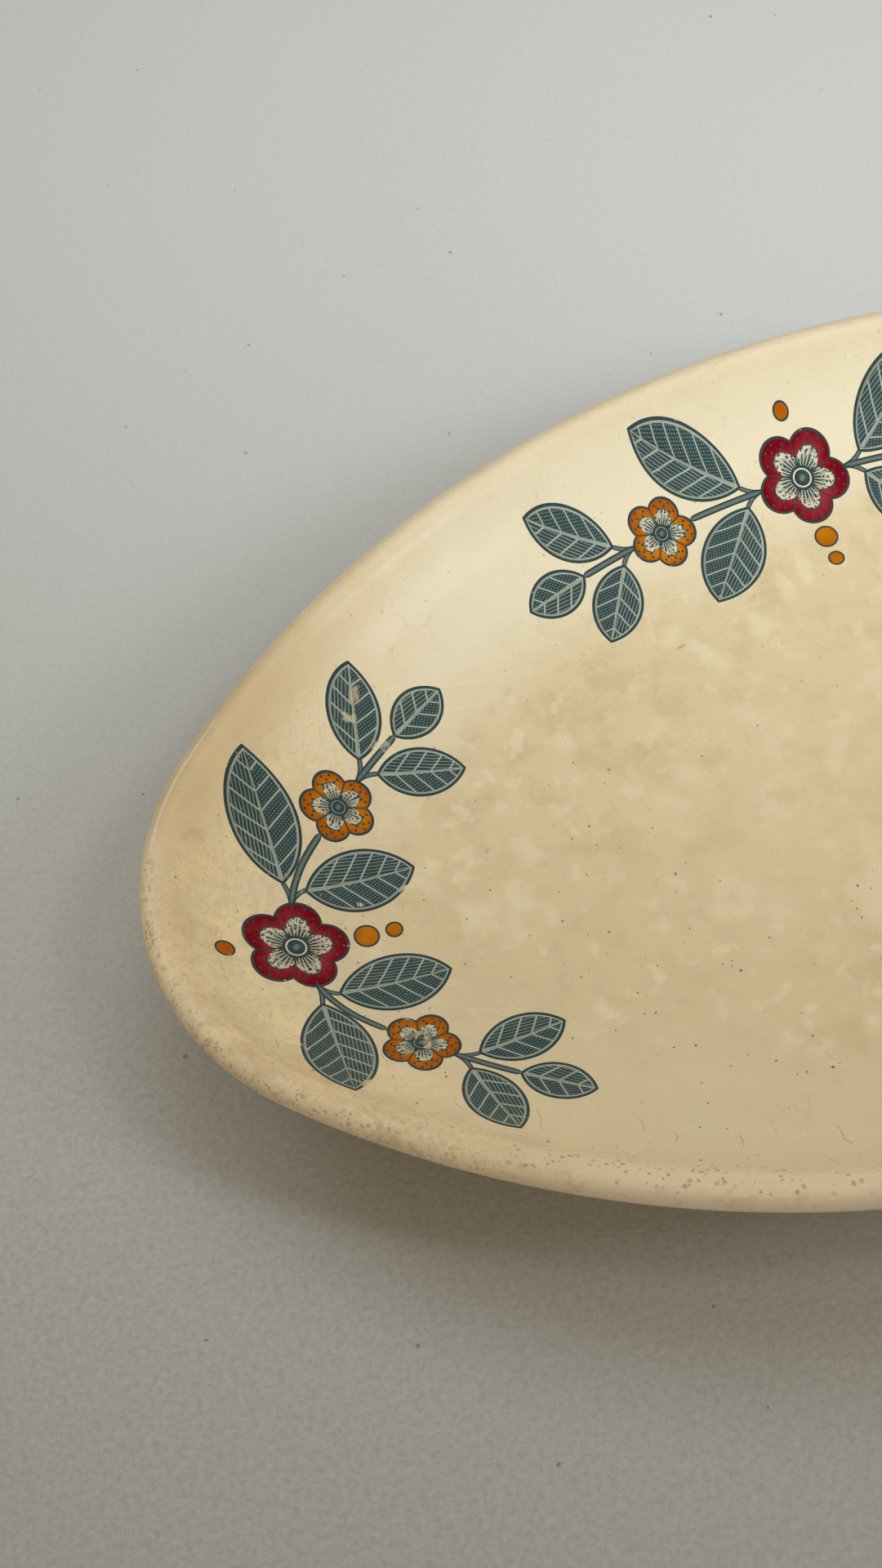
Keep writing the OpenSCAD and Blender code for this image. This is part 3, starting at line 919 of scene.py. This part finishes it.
def branch_points(rim, g, middle, along, off):
    """Plan points at lengths along the branch from a garland's middle, moved in by off, and their normals.

    On the end arc the turn is the length over the branch's end radius, and past it, or on a side arc, the
    rest over its side radius.
    """
    along = np.asarray(along, float)
    end_r, side_r = rim.end_r - g.branch_inset, rim.side_r - g.branch_inset
    reach = np.abs(along)
    at_end = abs(math.sin(middle)) < 0.5
    on_end = np.minimum(reach, end_r * rim.joint) if at_end else np.zeros_like(reach)
    normal = middle + np.sign(along) * (on_end / end_r + (reach - on_end) / side_r)
    return oval_points(rim, normal, g.branch_inset + np.asarray(off, float)), normal


def garland_plan(g):
    """Lengths along the branch at which a garland's parts start and stop, for one half."""
    inner_twig, outer_twig = g.crimson_r + g.twig_gap, g.orange_step + g.orange_r + g.twig_gap
    end_root = outer_twig + 4 * g.root_step
    return inner_twig, g.orange_step - g.orange_r - g.twig_gap, outer_twig, end_root


def garland_leaves(rim, g, middle):
    """Roots, tips and widths of a garland's ten leaves: long ones, short ones, and one at each end."""
    inner_twig, _, outer_twig, end_root = garland_plan(g)
    inner, outer = inner_twig + g.root_step, outer_twig + g.root_step
    short, last = 0.78, 0.85
    # root along, root off, tip along, tip off, width
    one_half = np.array([
        (inner, g.root_off, inner + g.leaf_reach, g.leaf_spread, g.leaf_width),
        (inner, -g.root_off, inner + g.leaf_reach, -g.leaf_spread, g.leaf_width),
        (outer, g.root_off, outer + short * g.leaf_reach, short * g.leaf_spread, g.short_leaf_width),
        (outer, -g.root_off, outer + short * g.leaf_reach, -short * g.leaf_spread, g.short_leaf_width),
        (end_root, 0.0, end_root + last * g.leaf_reach, 0.0, last * g.short_leaf_width),
    ])
    side = np.repeat([1.0, -1.0], len(one_half))
    both = np.concatenate([one_half, one_half])
    roots, _ = branch_points(rim, g, middle, side * both[:, 0], both[:, 1])
    tips, _ = branch_points(rim, g, middle, side * both[:, 2], both[:, 3])
    return roots, tips, both[:, 4]


def garland_stems(rim, g, middle):
    """Middle lines and widths of a garland's twigs, and of the stalks that curve from them to the leaves.

    A stalk leaves its twig along the branch: its distance from the branch grows with the square of the way.
    """
    inner_twig, inner_end, outer_twig, end_root = garland_plan(g)
    s = np.linspace(0, 1, 16)[None, :]
    inner, outer = inner_twig + g.root_step, outer_twig + g.root_step
    back, away = 1.4 * g.root_step, 1.2 * g.root_off
    # How far the ends reach past those lengths, so that they touch the rosettes and the leaves
    start_over, stop_over, root_over = 0.6 * MM, 0.8 * MM, 0.4 * MM
    # start along, stop along, off at the stop, width: two twigs, then four stalks
    stems = np.array([
        (inner_twig - start_over, inner_end + stop_over, 0.0, g.stem_width),
        (outer_twig - start_over, end_root + root_over, 0.0, g.stem_width),
        (inner - back, inner + root_over, away, g.stalk_width),
        (inner - back, inner + root_over, -away, g.stalk_width),
        (outer - back, outer + root_over, away, g.stalk_width),
        (outer - back, outer + root_over, -away, g.stalk_width),
    ])
    start, stop, last_off, wide = stems.T[..., None]
    along, off = start + s * (stop - start), last_off * s**2
    both_along, both_off = np.concatenate([along, -along]), np.concatenate([off, off])
    line, _ = branch_points(rim, g, middle, both_along.ravel(), both_off.ravel())
    return line.reshape(*both_along.shape, 2), np.concatenate([wide, wide]).ravel()


def stem_strips(line, wide):
    """Strips along middle lines, narrowed to a round end at both ends, and their places along and across."""
    step = np.gradient(line, axis=1)
    unit = step / np.linalg.norm(step, axis=-1, keepdims=True)
    side = np.stack([-unit[..., 1], unit[..., 0]], -1)
    s = np.linspace(0, 1, line.shape[1])
    half = wide[:, None] / 2 * np.sqrt(np.clip(1 - np.abs(2 * s - 1) ** 12, 0.02, 1.0))
    b = np.linspace(-1, 1, 5)
    plan = line[:, :, None] + (half[..., None] * b)[..., None] * side[:, :, None]
    chart = np.stack(np.broadcast_arrays(s[None, :, None], b[None, None, :]), -1)
    return plan, np.broadcast_to(chart, plan.shape)


def lens_half(share, long, wide):
    """Half the width of a leaf bounded by two arcs, at a share of its length.

    It is the height of one arc over the chord.
    """
    r = (long**2 + wide**2) / (4 * wide)
    return np.sqrt(np.maximum(r**2 - (long * (share - 0.5)) ** 2, 0.0)) - (r - wide / 2)


def on_axis(root, tip, x, y):
    """Plan points from places along and across the axes that run from roots to tips."""
    span = tip - root
    unit = span / np.linalg.norm(span, axis=-1, keepdims=True)
    side = np.stack([-unit[:, 1], unit[:, 0]], -1)
    return root[:, None, None] + x[..., None] * unit[:, None, None] + y[..., None] * side[:, None, None]


def lens_ring(root, tip, wide, line, steps=36):
    """A closed band just inside a leaf's edge: the leaf's outline, and that of the leaf drawn in by line."""
    long = np.linalg.norm(tip - root, axis=-1)[:, None, None]
    wide = wide[:, None, None]
    share = (1 - np.cos(np.linspace(0, math.pi, steps, endpoint=False))) / 2
    share = np.concatenate([share, share[::-1] + (1 - share[-1])])[None, :, None]
    side = np.repeat([-1.0, 1.0], steps)[None, :, None]
    corner = 2 * np.arctan(wide / long)
    draw = np.array([0.0, 1.0])[None, None, :] * line
    end = draw / np.sin(corner)
    half = lens_half(share, long - 2 * end, wide - 2 * draw)
    return on_axis(root, tip, end + share * (long - 2 * end), side * half)


def leaf_halves(root, tip, wide, margin, steps=22, across=6):
    """The two fields of each leaf, from its outline to its middle.

    Returns their plan points, their places along and across the leaf and their distances from the outline, in
    millimetres.
    """
    long = np.linalg.norm(tip - root, axis=-1)[:, None, None]
    wide = wide[:, None, None]
    end = margin / np.sin(2 * np.arctan(wide / long))
    share = np.linspace(0.01, 0.99, steps)[None, :, None]
    b = np.linspace(0, 1, across)[None, None, :]
    half = lens_half(share, long - 2 * end, wide - 2 * margin)
    x = np.broadcast_to(end + share * (long - 2 * end), half.shape[:2] + (across,))
    y = b * half
    plans = [on_axis(root, tip, x, sign * y) for sign in (1, -1)]
    chart, rim = np.stack([x, y], -1) / MM, (half - y) / MM
    return np.concatenate(plans), np.concatenate([chart, chart]), np.concatenate([rim, rim])


def petal_edge(turn, r):
    """Distance from the rosette's centre to a petal's round edge, at an angle from the petal's axis."""
    centre, petal = 0.56 * r, 0.44 * r
    return centre * np.cos(turn) + np.sqrt(petal**2 - (centre * np.sin(turn)) ** 2)


def polar(centre, facing, turn, r):
    """Plan points at angles and distances about a centre, measured from the direction it faces."""
    return centre + np.stack([r * np.cos(facing + turn), r * np.sin(facing + turn)], -1)


PETALS = 5
HALF_PETAL = math.pi / PETALS
PETAL_TURNS = HALF_PETAL * (2 * np.arange(PETALS) + 1)
# Share of a petal's angle that its enamel and its throat fill
ENAMEL_FILL, THROAT_FILL = 0.985, 0.93
# Radius of a rosette's heart, as a share of the rosette's, and of the dot in it, as a share of the heart's
HEART_SHARE, HEART_DOT = 0.26, 0.66


def petal_fields(centre, facing, r):
    """Five petals from the heart's edge to the round edge, with the place across and along each one."""
    u = np.linspace(-1, 1, 15)[None, :, None]
    v = np.linspace(0, 1, 9)[None, None, :]
    turn = u * HALF_PETAL * ENAMEL_FILL
    reach = HEART_SHARE * r + v * (petal_edge(turn, r) - HEART_SHARE * r)
    axis = PETAL_TURNS[:, None, None]
    plan = polar(centre, facing, axis + turn, reach)
    across = u / 2 + 0.5 + np.arange(PETALS)[:, None, None]
    return plan, np.stack(np.broadcast_arrays(across, v), -1)


def petal_outline(centre, facing, r, line):
    """A closed band along the scalloped edge of a rosette."""
    turn = np.linspace(-HALF_PETAL, HALF_PETAL, 24, endpoint=False)
    reach = np.tile(petal_edge(turn, r), PETALS)[None, :, None] + np.array([0.5, -0.5]) * line
    return polar(centre, facing, (PETAL_TURNS[:, None] + turn).ravel()[None, :, None], reach)


def circle_band(centre, r, line):
    """A closed band round a circle."""
    turn = np.linspace(0, 2 * math.pi, 40, endpoint=False)[None, :, None]
    return polar(centre, 0.0, turn, r + np.array([0.0, -1.0]) * line)


def petal_strokes(centre, facing, r, line):
    """A line between each two petals, from the heart to the cusp, tapering to less than half its width."""
    s = np.linspace(0, 1, 8)[None, :, None]
    b = np.array([-0.5, 0.5])[None, None, :]
    first, cusp = HEART_SHARE * r, petal_edge(HALF_PETAL, r)
    reach = first + s * (cusp - first)
    turn = PETAL_TURNS[:, None, None] + HALF_PETAL + b * line * (1.15 - 0.65 * s) / reach
    return polar(centre, facing, turn, reach)


def petal_throats(centre, facing, r):
    """The engraved throat of each petal, from the heart to a round end, with its places across and along."""
    u = np.linspace(-1, 1, 13)[None, :, None]
    v = np.linspace(0, 1, 7)[None, None, :]
    turn = u * HALF_PETAL * THROAT_FILL
    first = HEART_SHARE * r
    reach = first + v * (0.62 - 0.30 * u**2) * (petal_edge(turn, r) - first)
    plan = polar(centre, facing, PETAL_TURNS[:, None, None] + turn, reach)
    chart = np.stack(np.broadcast_arrays(u, v), -1)
    return plan, np.broadcast_to(chart, plan.shape)


def round_dots(centres, r):
    """Small discs: a square grid bulged to a circle by x sqrt(1 - y²/2), y sqrt(1 - x²/2)."""
    t = np.linspace(-1, 1, 5)
    x, y = np.meshgrid(t, t, indexing="ij")
    disc = np.stack([x * np.sqrt(1 - y**2 / 2), y * np.sqrt(1 - x**2 / 2)], -1)
    return centres[:, None, None] + disc * np.asarray(r).reshape(-1, 1, 1, 1)


def petal_dots(centre, facing, r):
    """Stipple dots in two rows near the edge of each petal."""
    turn = np.array([-0.60, -0.2, 0.2, 0.60, -0.4, 0.0, 0.4]) * HALF_PETAL
    share = np.array([0.84, 0.90, 0.90, 0.84, 0.72, 0.78, 0.72])
    reach = share * petal_edge(turn, r)
    return polar(centre, facing, PETAL_TURNS[:, None] + turn, reach[None, :]).reshape(-1, 2)


def slab_faces(u, v, closed):
    """Quads of one slab of u by v points, and which of them are smooth.

    They are the upper face, the lower face and the wall round the edge, which isn't smooth.
    """
    i = np.arange(u if closed else u - 1)[:, None]
    j = np.arange(v - 1)[None, :]
    a, b = i * v + j, (i + 1) % u * v + j
    upper = np.stack([a, b, b + 1, a + 1], -1).reshape(-1, 4)
    if closed:
        k = np.arange(u)
        n = (k + 1) % u
        start, stop = np.concatenate([k * v, n * v + v - 1]), np.concatenate([n * v, k * v + v - 1])
    else:
        start = np.concatenate([
            np.arange(u) * v,
            (u - 1) * v + np.arange(1, v),
            np.arange(u - 2, -1, -1) * v + v - 1,
            np.arange(v - 2, 0, -1),
        ])
        stop = np.roll(start, -1)
    wall = np.stack([start + u * v, stop + u * v, stop, start], -1)
    smooth = np.repeat([True, False], [2 * len(upper), len(wall)])
    return np.concatenate([upper, upper[:, ::-1] + u * v, wall]), smooth


class PrintLayer:
    """Collects plan patches and drapes them on the inside of the dish as thin closed slabs."""

    def __init__(self, rim, section, sizes, g, rise):
        self.rim, self.section, self.sizes = rim, section, sizes
        self.rise, self.sink = rise, g.print_sink
        self.points, self.faces, self.smooth, self.charts, self.hatches = [], [], [], [], []
        self.insets, self.edges = [], []
        self.count = 0

    def add(self, plan, chart=None, hatch=SOLID, edge=None, closed=False):
        """Adds patches of plan points, patch by rows by columns, turned so that they face up."""
        if chart is None:
            chart = np.zeros_like(plan)
        if edge is None:
            edge = np.ones(plan.shape[:3])
        mid = plan.shape[1] // 2
        along, over = plan[:, mid, 0] - plan[:, mid - 1, 0], plan[:, mid, 1] - plan[:, mid, 0]
        under = along[:, 0] * over[:, 1] - along[:, 1] * over[:, 0] < 0
        plan = np.where(under[:, None, None, None], plan[:, :, ::-1], plan)
        chart = np.where(under[:, None, None, None], chart[:, :, ::-1], chart)
        edge = np.where(under[:, None, None], edge[:, :, ::-1], edge)
        inset = inset_of(self.rim, plan)
        z = inside_height(self.section, inset)
        slabs = np.stack([lifted(plan, z + self.rise), lifted(plan, z - self.sink)], 1)
        m, _, u, v, _ = slabs.shape
        first = self.count + np.arange(m)[:, None, None] * (2 * u * v)
        quads, smooth = slab_faces(u, v, closed)
        self.faces.append((quads[None] + first).reshape(-1, 4))
        self.smooth.append(np.tile(smooth, m))
        self.points.append(slabs.reshape(-1, 3))
        self.charts.append(np.stack([chart, chart], 1).reshape(-1, 2))
        self.insets.append(np.stack([inset, inset], 1).ravel())
        self.edges.append(np.stack([edge, edge], 1).ravel())
        hatch = np.asarray(hatch, float).reshape(-1, 1)
        self.hatches.append(np.broadcast_to(hatch, (m, 2 * u * v)).ravel())
        self.count += m * 2 * u * v

    def build(self, name, material, node):
        """Makes one piece of the patches, settled with the dish, in place of a CAD node."""
        points = settle(np.concatenate(self.points), self.sizes, self.section)
        inset = np.concatenate(self.insets)
        traits = {
            "inset": inset,
            "outside": np.zeros_like(inset),
            "hatch": np.concatenate(self.hatches),
            "rim": np.concatenate(self.edges),
        }
        faces, charts, smooth = (np.concatenate(part) for part in (self.faces, self.charts, self.smooth))
        return new_piece(name, points, [faces], traits, material, [node], charts, smooth)


def garland_rosettes(rim, g, middle):
    """(centre, facing, radius) of the crimson rosette and the two orange ones."""
    centres, normals = branch_points(rim, g, middle, [0.0, g.orange_step, -g.orange_step], 0.0)
    return list(zip(centres, normals, (g.crimson_r, g.orange_r, g.orange_r)))


def garland_drops(rim, g, middle):
    """Centres and radii of the three drops in line with the crimson rosette."""
    small = 0.7 * g.drop_r
    near = g.crimson_r + g.drop_gap + g.drop_r
    offs = [near, near + g.drop_r + g.drop_gap + small, -g.crimson_r - g.drop_gap - small]
    centres, _ = branch_points(rim, g, middle, np.zeros(3), offs)
    return centres, np.array([g.drop_r, small, small])


# Operators


class DISH_OT_body(bpy.types.Operator):
    """Builds the pressed earthenware body, which shows only as the bare band of the foot"""

    bl_idname = "dish.body"
    bl_label = "Earthenware body"

    def execute(self, context):
        sizes, colours = context.scene.dish_sizes, context.scene.dish_finishes
        rim, foot, section = dish_forms(sizes)
        normals = even_normals(rim, RIM_SPACING_INSET, BODY_SIDES)
        skin, edge = sizes.glaze, sizes.foot_edge
        outer = foot_side(rim, foot, section, sizes, normals, skin, True, HIDDEN_FILLET, edge, 4)
        inner = foot_side(rim, foot, section, sizes, normals, skin, False, HIDDEN_FILLET, edge, 4)
        turn = np.linspace(0, math.pi / 2, 5)[1:]
        step, height = skin + edge * (1 - np.cos(turn)), edge * (1 - np.sin(turn))
        inset = np.concatenate([step, (sizes.foot_wall - step)[::-1]])
        face = rings_at(foot, normals, inset, np.concatenate([height, height[::-1]]))
        plan = inner[0, :, :2] * np.linspace(1, 0, 8)[1:-1, None, None]
        well = lifted(plan, under_height(section, inset_of(rim, plan), skin))
        rings = np.concatenate([
            dish_inside(rim, section, normals, skin, 6, 14),
            dish_outside(rim, foot, section, sizes, normals, skin, 10, 10, 4),
            outer, face, inner[::-1], well,
        ])
        depth = section.half - skin
        poles = [(0, 0, section.floor_mid + depth), (0, 0, section.floor_mid - depth)]
        finish, nodes = clay_finish(colours), ["earthenware_body"]
        finish_shell("pressed_body", rings, poles, {}, finish, nodes, sizes, section)
        return {"FINISHED"}


class DISH_OT_glaze(bpy.types.Operator):
    """Builds the coat of aged glaze over the dish, and the glaze inside the foot"""

    bl_idname = "dish.glaze"
    bl_label = "Glaze"

    def execute(self, context):
        sizes, colours = context.scene.dish_sizes, context.scene.dish_finishes
        rim, foot, section = dish_forms(sizes)
        finish = glaze_finish(colours)
        self.coat(sizes, rim, foot, section, finish)
        self.foot_well(sizes, rim, foot, section, finish)
        return {"FINISHED"}

    def coat(self, sizes, rim, foot, section, finish):
        """The coat's outer face from the floor over the lip to the foot, then back along its inner face."""
        normals = even_normals(rim, RIM_SPACING_INSET, COAT_SIDES)
        low, skin, lip_steps = sizes.bare_band, sizes.glaze, 28
        inside = dish_inside(rim, section, normals, 0.0, 12, 36)
        outside = dish_outside(rim, foot, section, sizes, normals, 0.0, lip_steps, 14, 5)
        side = foot_side(rim, foot, section, sizes, normals, 0.0, True, sizes.foot_fillet, low, 3)
        back = np.concatenate([
            dish_inside(rim, section, normals, skin, 2, 6),
            dish_outside(rim, foot, section, sizes, normals, skin, 6, 4, 2),
            foot_side(rim, foot, section, sizes, normals, skin, True, HIDDEN_FILLET, low, 1),
        ])[::-1]
        rings = np.concatenate([inside, outside, side, back])
        # The outside starts on the outer part of the lip, and its mask rises from 0 to 1 there
        over = np.arange(1, lip_steps) / lip_steps
        first, past = len(inside), len(inside) + len(over)
        mask = np.zeros(rings.shape[:2])
        mask[first:past] = np.clip((over - 0.55) / 0.35, 0, 1)[:, None]
        mask[past:] = 1.0
        middle = sizes.dish_width / 2
        traits = {
            "inset": np.concatenate([[middle], inset_of(rim, rings[..., :2]).ravel(), [middle]]),
            "outside": np.concatenate([[0.0], mask.ravel(), [1.0]]),
        }
        floor = section.floor_mid + section.half
        poles = [(0, 0, floor), (0, 0, floor - skin)]
        slot, nodes = "cream_glaze", ["glaze_coat"]
        finish_shell("cream_coat", rings, poles, traits, finish, nodes, sizes, section)

    def foot_well(self, sizes, rim, foot, section, finish):
        """The glaze inside the foot ring: its lower face, down the foot's side, and back above."""
        normals = even_normals(foot, FOOT_SPACING_INSET, WELL_SIDES)
        share = np.linspace(0, 1, 14)[1:-1, None, None]

        def half(skin, fillet, steps, inner):
            side = foot_side(rim, foot, section, sizes, normals, skin, False, fillet, sizes.bare_band, steps)
            plan = side[0, :, :2] * inner
            return np.concatenate([lifted(plan, under_height(section, inset_of(rim, plan), skin)), side])

        lower = half(0.0, sizes.foot_fillet, 4, share)
        upper = half(sizes.glaze, HIDDEN_FILLET, 2, share[::3])
        rings = np.concatenate([lower, upper[::-1]])
        middle = 40 * MM
        inset = np.concatenate([[middle], inset_of(rim, rings[..., :2]).ravel(), [middle]])
        traits = {"inset": inset, "outside": np.ones_like(inset)}
        under = section.floor_mid - section.half
        poles = [(0, 0, under), (0, 0, under + sizes.glaze)]
        slot, nodes = "cream_glaze", ["foot_well_glaze"]
        finish_shell("foot_well_coat", rings, poles, traits, finish, nodes, sizes, section, inward=True)


class DISH_OT_ink(bpy.types.Operator):
    """Prints the engraved leaves, twigs and outlines of the garlands"""

    bl_idname = "dish.ink"
    bl_label = "Engraved garlands"

    def execute(self, context):
        sizes, g = context.scene.dish_sizes, context.scene.dish_garlands
        rim, _, section = dish_forms(sizes)
        finish = ink_finish(context.scene.dish_finishes)
        for name, middle in GARLANDS.items():
            layer = PrintLayer(rim, section, sizes, g, g.ink_rise)
            roots, tips, wide = garland_leaves(rim, g, middle)
            layer.add(lens_ring(roots, tips, wide, g.line), closed=True)
            fields, chart, inner = leaf_halves(roots, tips, wide, g.line)
            layer.add(fields, chart, np.repeat([LINED, DOTTED], len(roots)), inner)
            layer.add(*stem_strips(*garland_stems(rim, g, middle)), STEM)
            for centre, facing, r in garland_rosettes(rim, g, middle):
                layer.add(petal_outline(centre, facing, r, g.line), closed=True)
                layer.add(circle_band(centre, HEART_SHARE * r, g.line), closed=True)
                layer.add(petal_strokes(centre, facing, r, g.fine_line))
                layer.add(*petal_throats(centre, facing, r), THROAT)
                layer.add(round_dots(petal_dots(centre, facing, r), g.dot_r))
                heart_r = HEART_DOT * HEART_SHARE * r
                heart = round_dots(centre[None], heart_r)
                reach = np.linalg.norm(heart - centre, axis=-1) / heart_r
                layer.add(heart, np.stack([reach, reach], -1), STEM)
            centres, radii = garland_drops(rim, g, middle)
            for centre, r in zip(centres, radii):
                layer.add(circle_band(centre, r, g.fine_line), closed=True)
            layer.build(f"{name}_garland_ink", finish, f"{name}_leaf_print")
        return {"FINISHED"}


class DISH_OT_tints(bpy.types.Operator):
    """Lays the crimson and orange enamels of the garlands"""

    bl_idname = "dish.tints"
    bl_label = "Enamel petals"

    def execute(self, context):
        sizes, g = context.scene.dish_sizes, context.scene.dish_garlands
        colours = context.scene.dish_finishes
        rim, _, section = dish_forms(sizes)
        crimson = enamel_finish("crimson_enamel", colours, colours.crimson, colours.pink)
        orange = enamel_finish("orange_enamel", colours, colours.amber, colours.orange)
        for name, middle in GARLANDS.items():
            middle_rosette, *side_rosettes = garland_rosettes(rim, g, middle)
            layer = PrintLayer(rim, section, sizes, g, g.tint_rise)
            layer.add(*petal_fields(*middle_rosette))
            layer.build(f"{name}_crimson_petals", crimson, f"{name}_crimson_tint")
            layer = PrintLayer(rim, section, sizes, g, g.tint_rise)
            for rosette in side_rosettes:
                layer.add(*petal_fields(*rosette))
            centres, radii = garland_drops(rim, g, middle)
            drops = round_dots(centres, radii)
            layer.add(drops, np.full(drops.shape, 0.5))
            layer.build(f"{name}_orange_petals", orange, f"{name}_orange_tint")
        return {"FINISHED"}


class DISH_OT_stage(bpy.types.Operator):
    """Lays a plain pale floor, hangs soft lamps and stands the camera"""

    bl_idname = "dish.stage"
    bl_label = "Stage"

    def execute(self, context):
        stage, colours = context.scene.dish_stage, context.scene.dish_finishes
        context.scene.view_settings.view_transform = "Standard"
        self.floor(colours)
        self.light(context.scene, stage)
        self.camera(context.scene, stage)
        return {"FINISHED"}

    def floor(self, colours):
        """A level sheet, 8 m square, with a fine grain that is stronger in front and a few dark specks."""
        f = Finish("stone_table")
        grain, drift = f.noise(1050, 4, 0.62, 0.4), f.noise(7, 3, 0.5)
        near = f.fade(f.apart(f.place)[1], 110 * MM, -50 * MM, 0.30, 1.0)
        dark, light = f.fade(grain, 0.42, 0.72, 0.0, 0.34), f.fade(grain, 0.48, 0.26, 0.0, 0.30)
        tone = f.blend(f.times(dark, near), colours.table, colours.table_dark)
        tone = f.blend(f.times(light, near), tone, colours.table_light)
        tone = f.blend(f.fade(drift, 0.3, 0.7, 0.0, 0.08), tone, colours.table_drift)
        speck = f.specks(150, 0.45, 0.025, 0.06, f.shaken(1500, 0.7 * MM))
        tone = f.blend(f.times(speck, 0.55), tone, colours.table_speck)
        gloss, relief = f.fade(grain, 0.3, 0.7, 0.62, 0.75), f.times(f.less(grain), near)
        f.close(tone, gloss, relief, FLOOR_RELIEF)
        half, tiles = 4.0, 8
        side = np.linspace(-half, half, tiles + 1)
        x, y = np.meshgrid(side, side, indexing="ij")
        points = np.stack([x, y, np.zeros_like(x)], -1).reshape(-1, 3)
        i, j = np.meshgrid(np.arange(tiles), np.arange(tiles), indexing="ij")
        a = (i * (tiles + 1) + j).ravel()
        b = a + tiles + 1
        mesh = bpy.data.meshes.new("stone_table")
        mesh.from_pydata(points.tolist(), [], np.stack([a, b, b + 1, a + 1], -1).tolist())
        mesh.materials.append(f.material)
        table = bpy.data.objects.new("stone_table", mesh)
        bpy.context.scene.collection.objects.link(table)

    def light(self, scene, stage):
        """A warm even sky, two soft spots from the front right, a low lamp in front and two softboxes.

        All but the softbox behind are kept out of reflections, since a glaze as smooth as this would show
        each of them as a hard patch.
        """
        world = bpy.data.worlds.new("soft_sky")
        world.use_nodes = True
        sky = world.node_tree.nodes["Background"]
        sky.inputs["Color"].default_value = (*stage.sky_colour, 1.0)
        sky.inputs["Strength"].default_value = stage.sky
        scene.world = world
        # name, power, place, target, cone in degrees, softness
        spots = (
            ("low_key", stage.low_key, (0.379, -0.199, 0.356), (0.02, 0.16, 0.0), 40, 0.12),
            ("high_key", stage.high_key, (0.30, -0.15, 0.60), (0.02, 0.15, 0.0), 45, 0.10),
            ("front_fill", stage.front_fill, (-0.05, -0.45, 0.035), (-0.03, -0.07, 0.015), 70, 0.03),
        )
        for name, watts, place, target, cone, softness in spots:
            spot = bpy.data.lights.new(name, "SPOT")
            spot.energy, spot.color = watts, stage.lamp_colour
            spot.spot_size, spot.spot_blend, spot.shadow_soft_size = math.radians(cone), 1.0, softness
            self.hang(scene, spot, place, target).visible_glossy = False
        box_size, box_target = 0.3, (-0.03, 0.05, 0.0)
        # name, power, place, shown in reflections
        boxes = (
            ("rear_fill", stage.rear_fill, (-0.35, 0.50, 0.45), True),
            ("top_fill", stage.top_fill, (0.0, 0.20, 0.45), False),
        )
        for name, watts, place, mirrored in boxes:
            box = bpy.data.lights.new(name, "AREA")
            box.energy, box.color, box.size = watts, stage.lamp_colour, box_size
            self.hang(scene, box, place, box_target).visible_glossy = mirrored

    def hang(self, scene, lamp, place, target):
        """Hangs a lamp at a place and turns it to a target."""
        hung = bpy.data.objects.new(lamp.name, lamp)
        hung.location = place
        hung.rotation_euler = (Vector(target) - hung.location).to_track_quat("-Z", "Y").to_euler()
        scene.collection.objects.link(hung)
        return hung

    def camera(self, scene, stage):
        """A camera that looks at its target from the given side, rolled about its own axis."""
        az, el, roll = stage.azimuth, stage.elevation, stage.roll
        back = Vector((math.sin(az) * math.cos(el), -math.cos(az) * math.cos(el), math.sin(el)))
        right = Vector((math.cos(az), math.sin(az), 0.0))
        up = back.cross(right)
        across = math.cos(roll) * right + math.sin(roll) * up
        upward = math.cos(roll) * up - math.sin(roll) * right
        lens = bpy.data.cameras.new("camera")
        lens.lens, lens.sensor_width, lens.clip_start = stage.lens, 36.0, 0.01
        camera = bpy.data.objects.new("camera", lens)
        place = Vector((stage.target_x, stage.target_y, stage.target_z)) + back * stage.distance
        camera.matrix_world = Matrix((
            (across.x, upward.x, back.x, place.x),
            (across.y, upward.y, back.y, place.y),
            (across.z, upward.z, back.z, place.z),
            (0.0, 0.0, 0.0, 1.0),
        ))
        scene.collection.objects.link(camera)
        scene.camera = camera


class VIEW3D_PT_dish(bpy.types.Panel):
    """Lists the steps that build the dish, and the values that they use"""

    bl_label = "Oval Dish"
    bl_space_type = "VIEW_3D"
    bl_region_type = "UI"
    bl_category = "Dish"

    def draw(self, context):
        for step in STEPS:
            self.layout.operator(step.bl_idname)
        for group in GROUPS:
            box = self.layout.box()
            settings = getattr(context.scene, group)
            for key in settings.__annotations__:
                box.prop(settings, key)


STEPS = (DISH_OT_body, DISH_OT_glaze, DISH_OT_tints, DISH_OT_ink, DISH_OT_stage)
GROUPS = {
    "dish_sizes": DishSizes,
    "dish_garlands": GarlandSizes,
    "dish_finishes": Finishes,
    "dish_stage": StageSizes,
}


def register():
    for kind in (*GROUPS.values(), *STEPS, VIEW3D_PT_dish):
        bpy.utils.register_class(kind)
    for name, kind in GROUPS.items():
        setattr(bpy.types.Scene, name, PointerProperty(type=kind))


def unregister():
    for name in GROUPS:
        delattr(bpy.types.Scene, name)
    for kind in reversed((*GROUPS.values(), *STEPS, VIEW3D_PT_dish)):
        bpy.utils.unregister_class(kind)


def main():
    """Builds the dish and its stage."""
    register()
    bpy.ops.dish.body()
    bpy.ops.dish.glaze()
    bpy.ops.dish.tints()
    bpy.ops.dish.ink()
    bpy.ops.dish.stage()


if __name__ == "__main__":
    main()
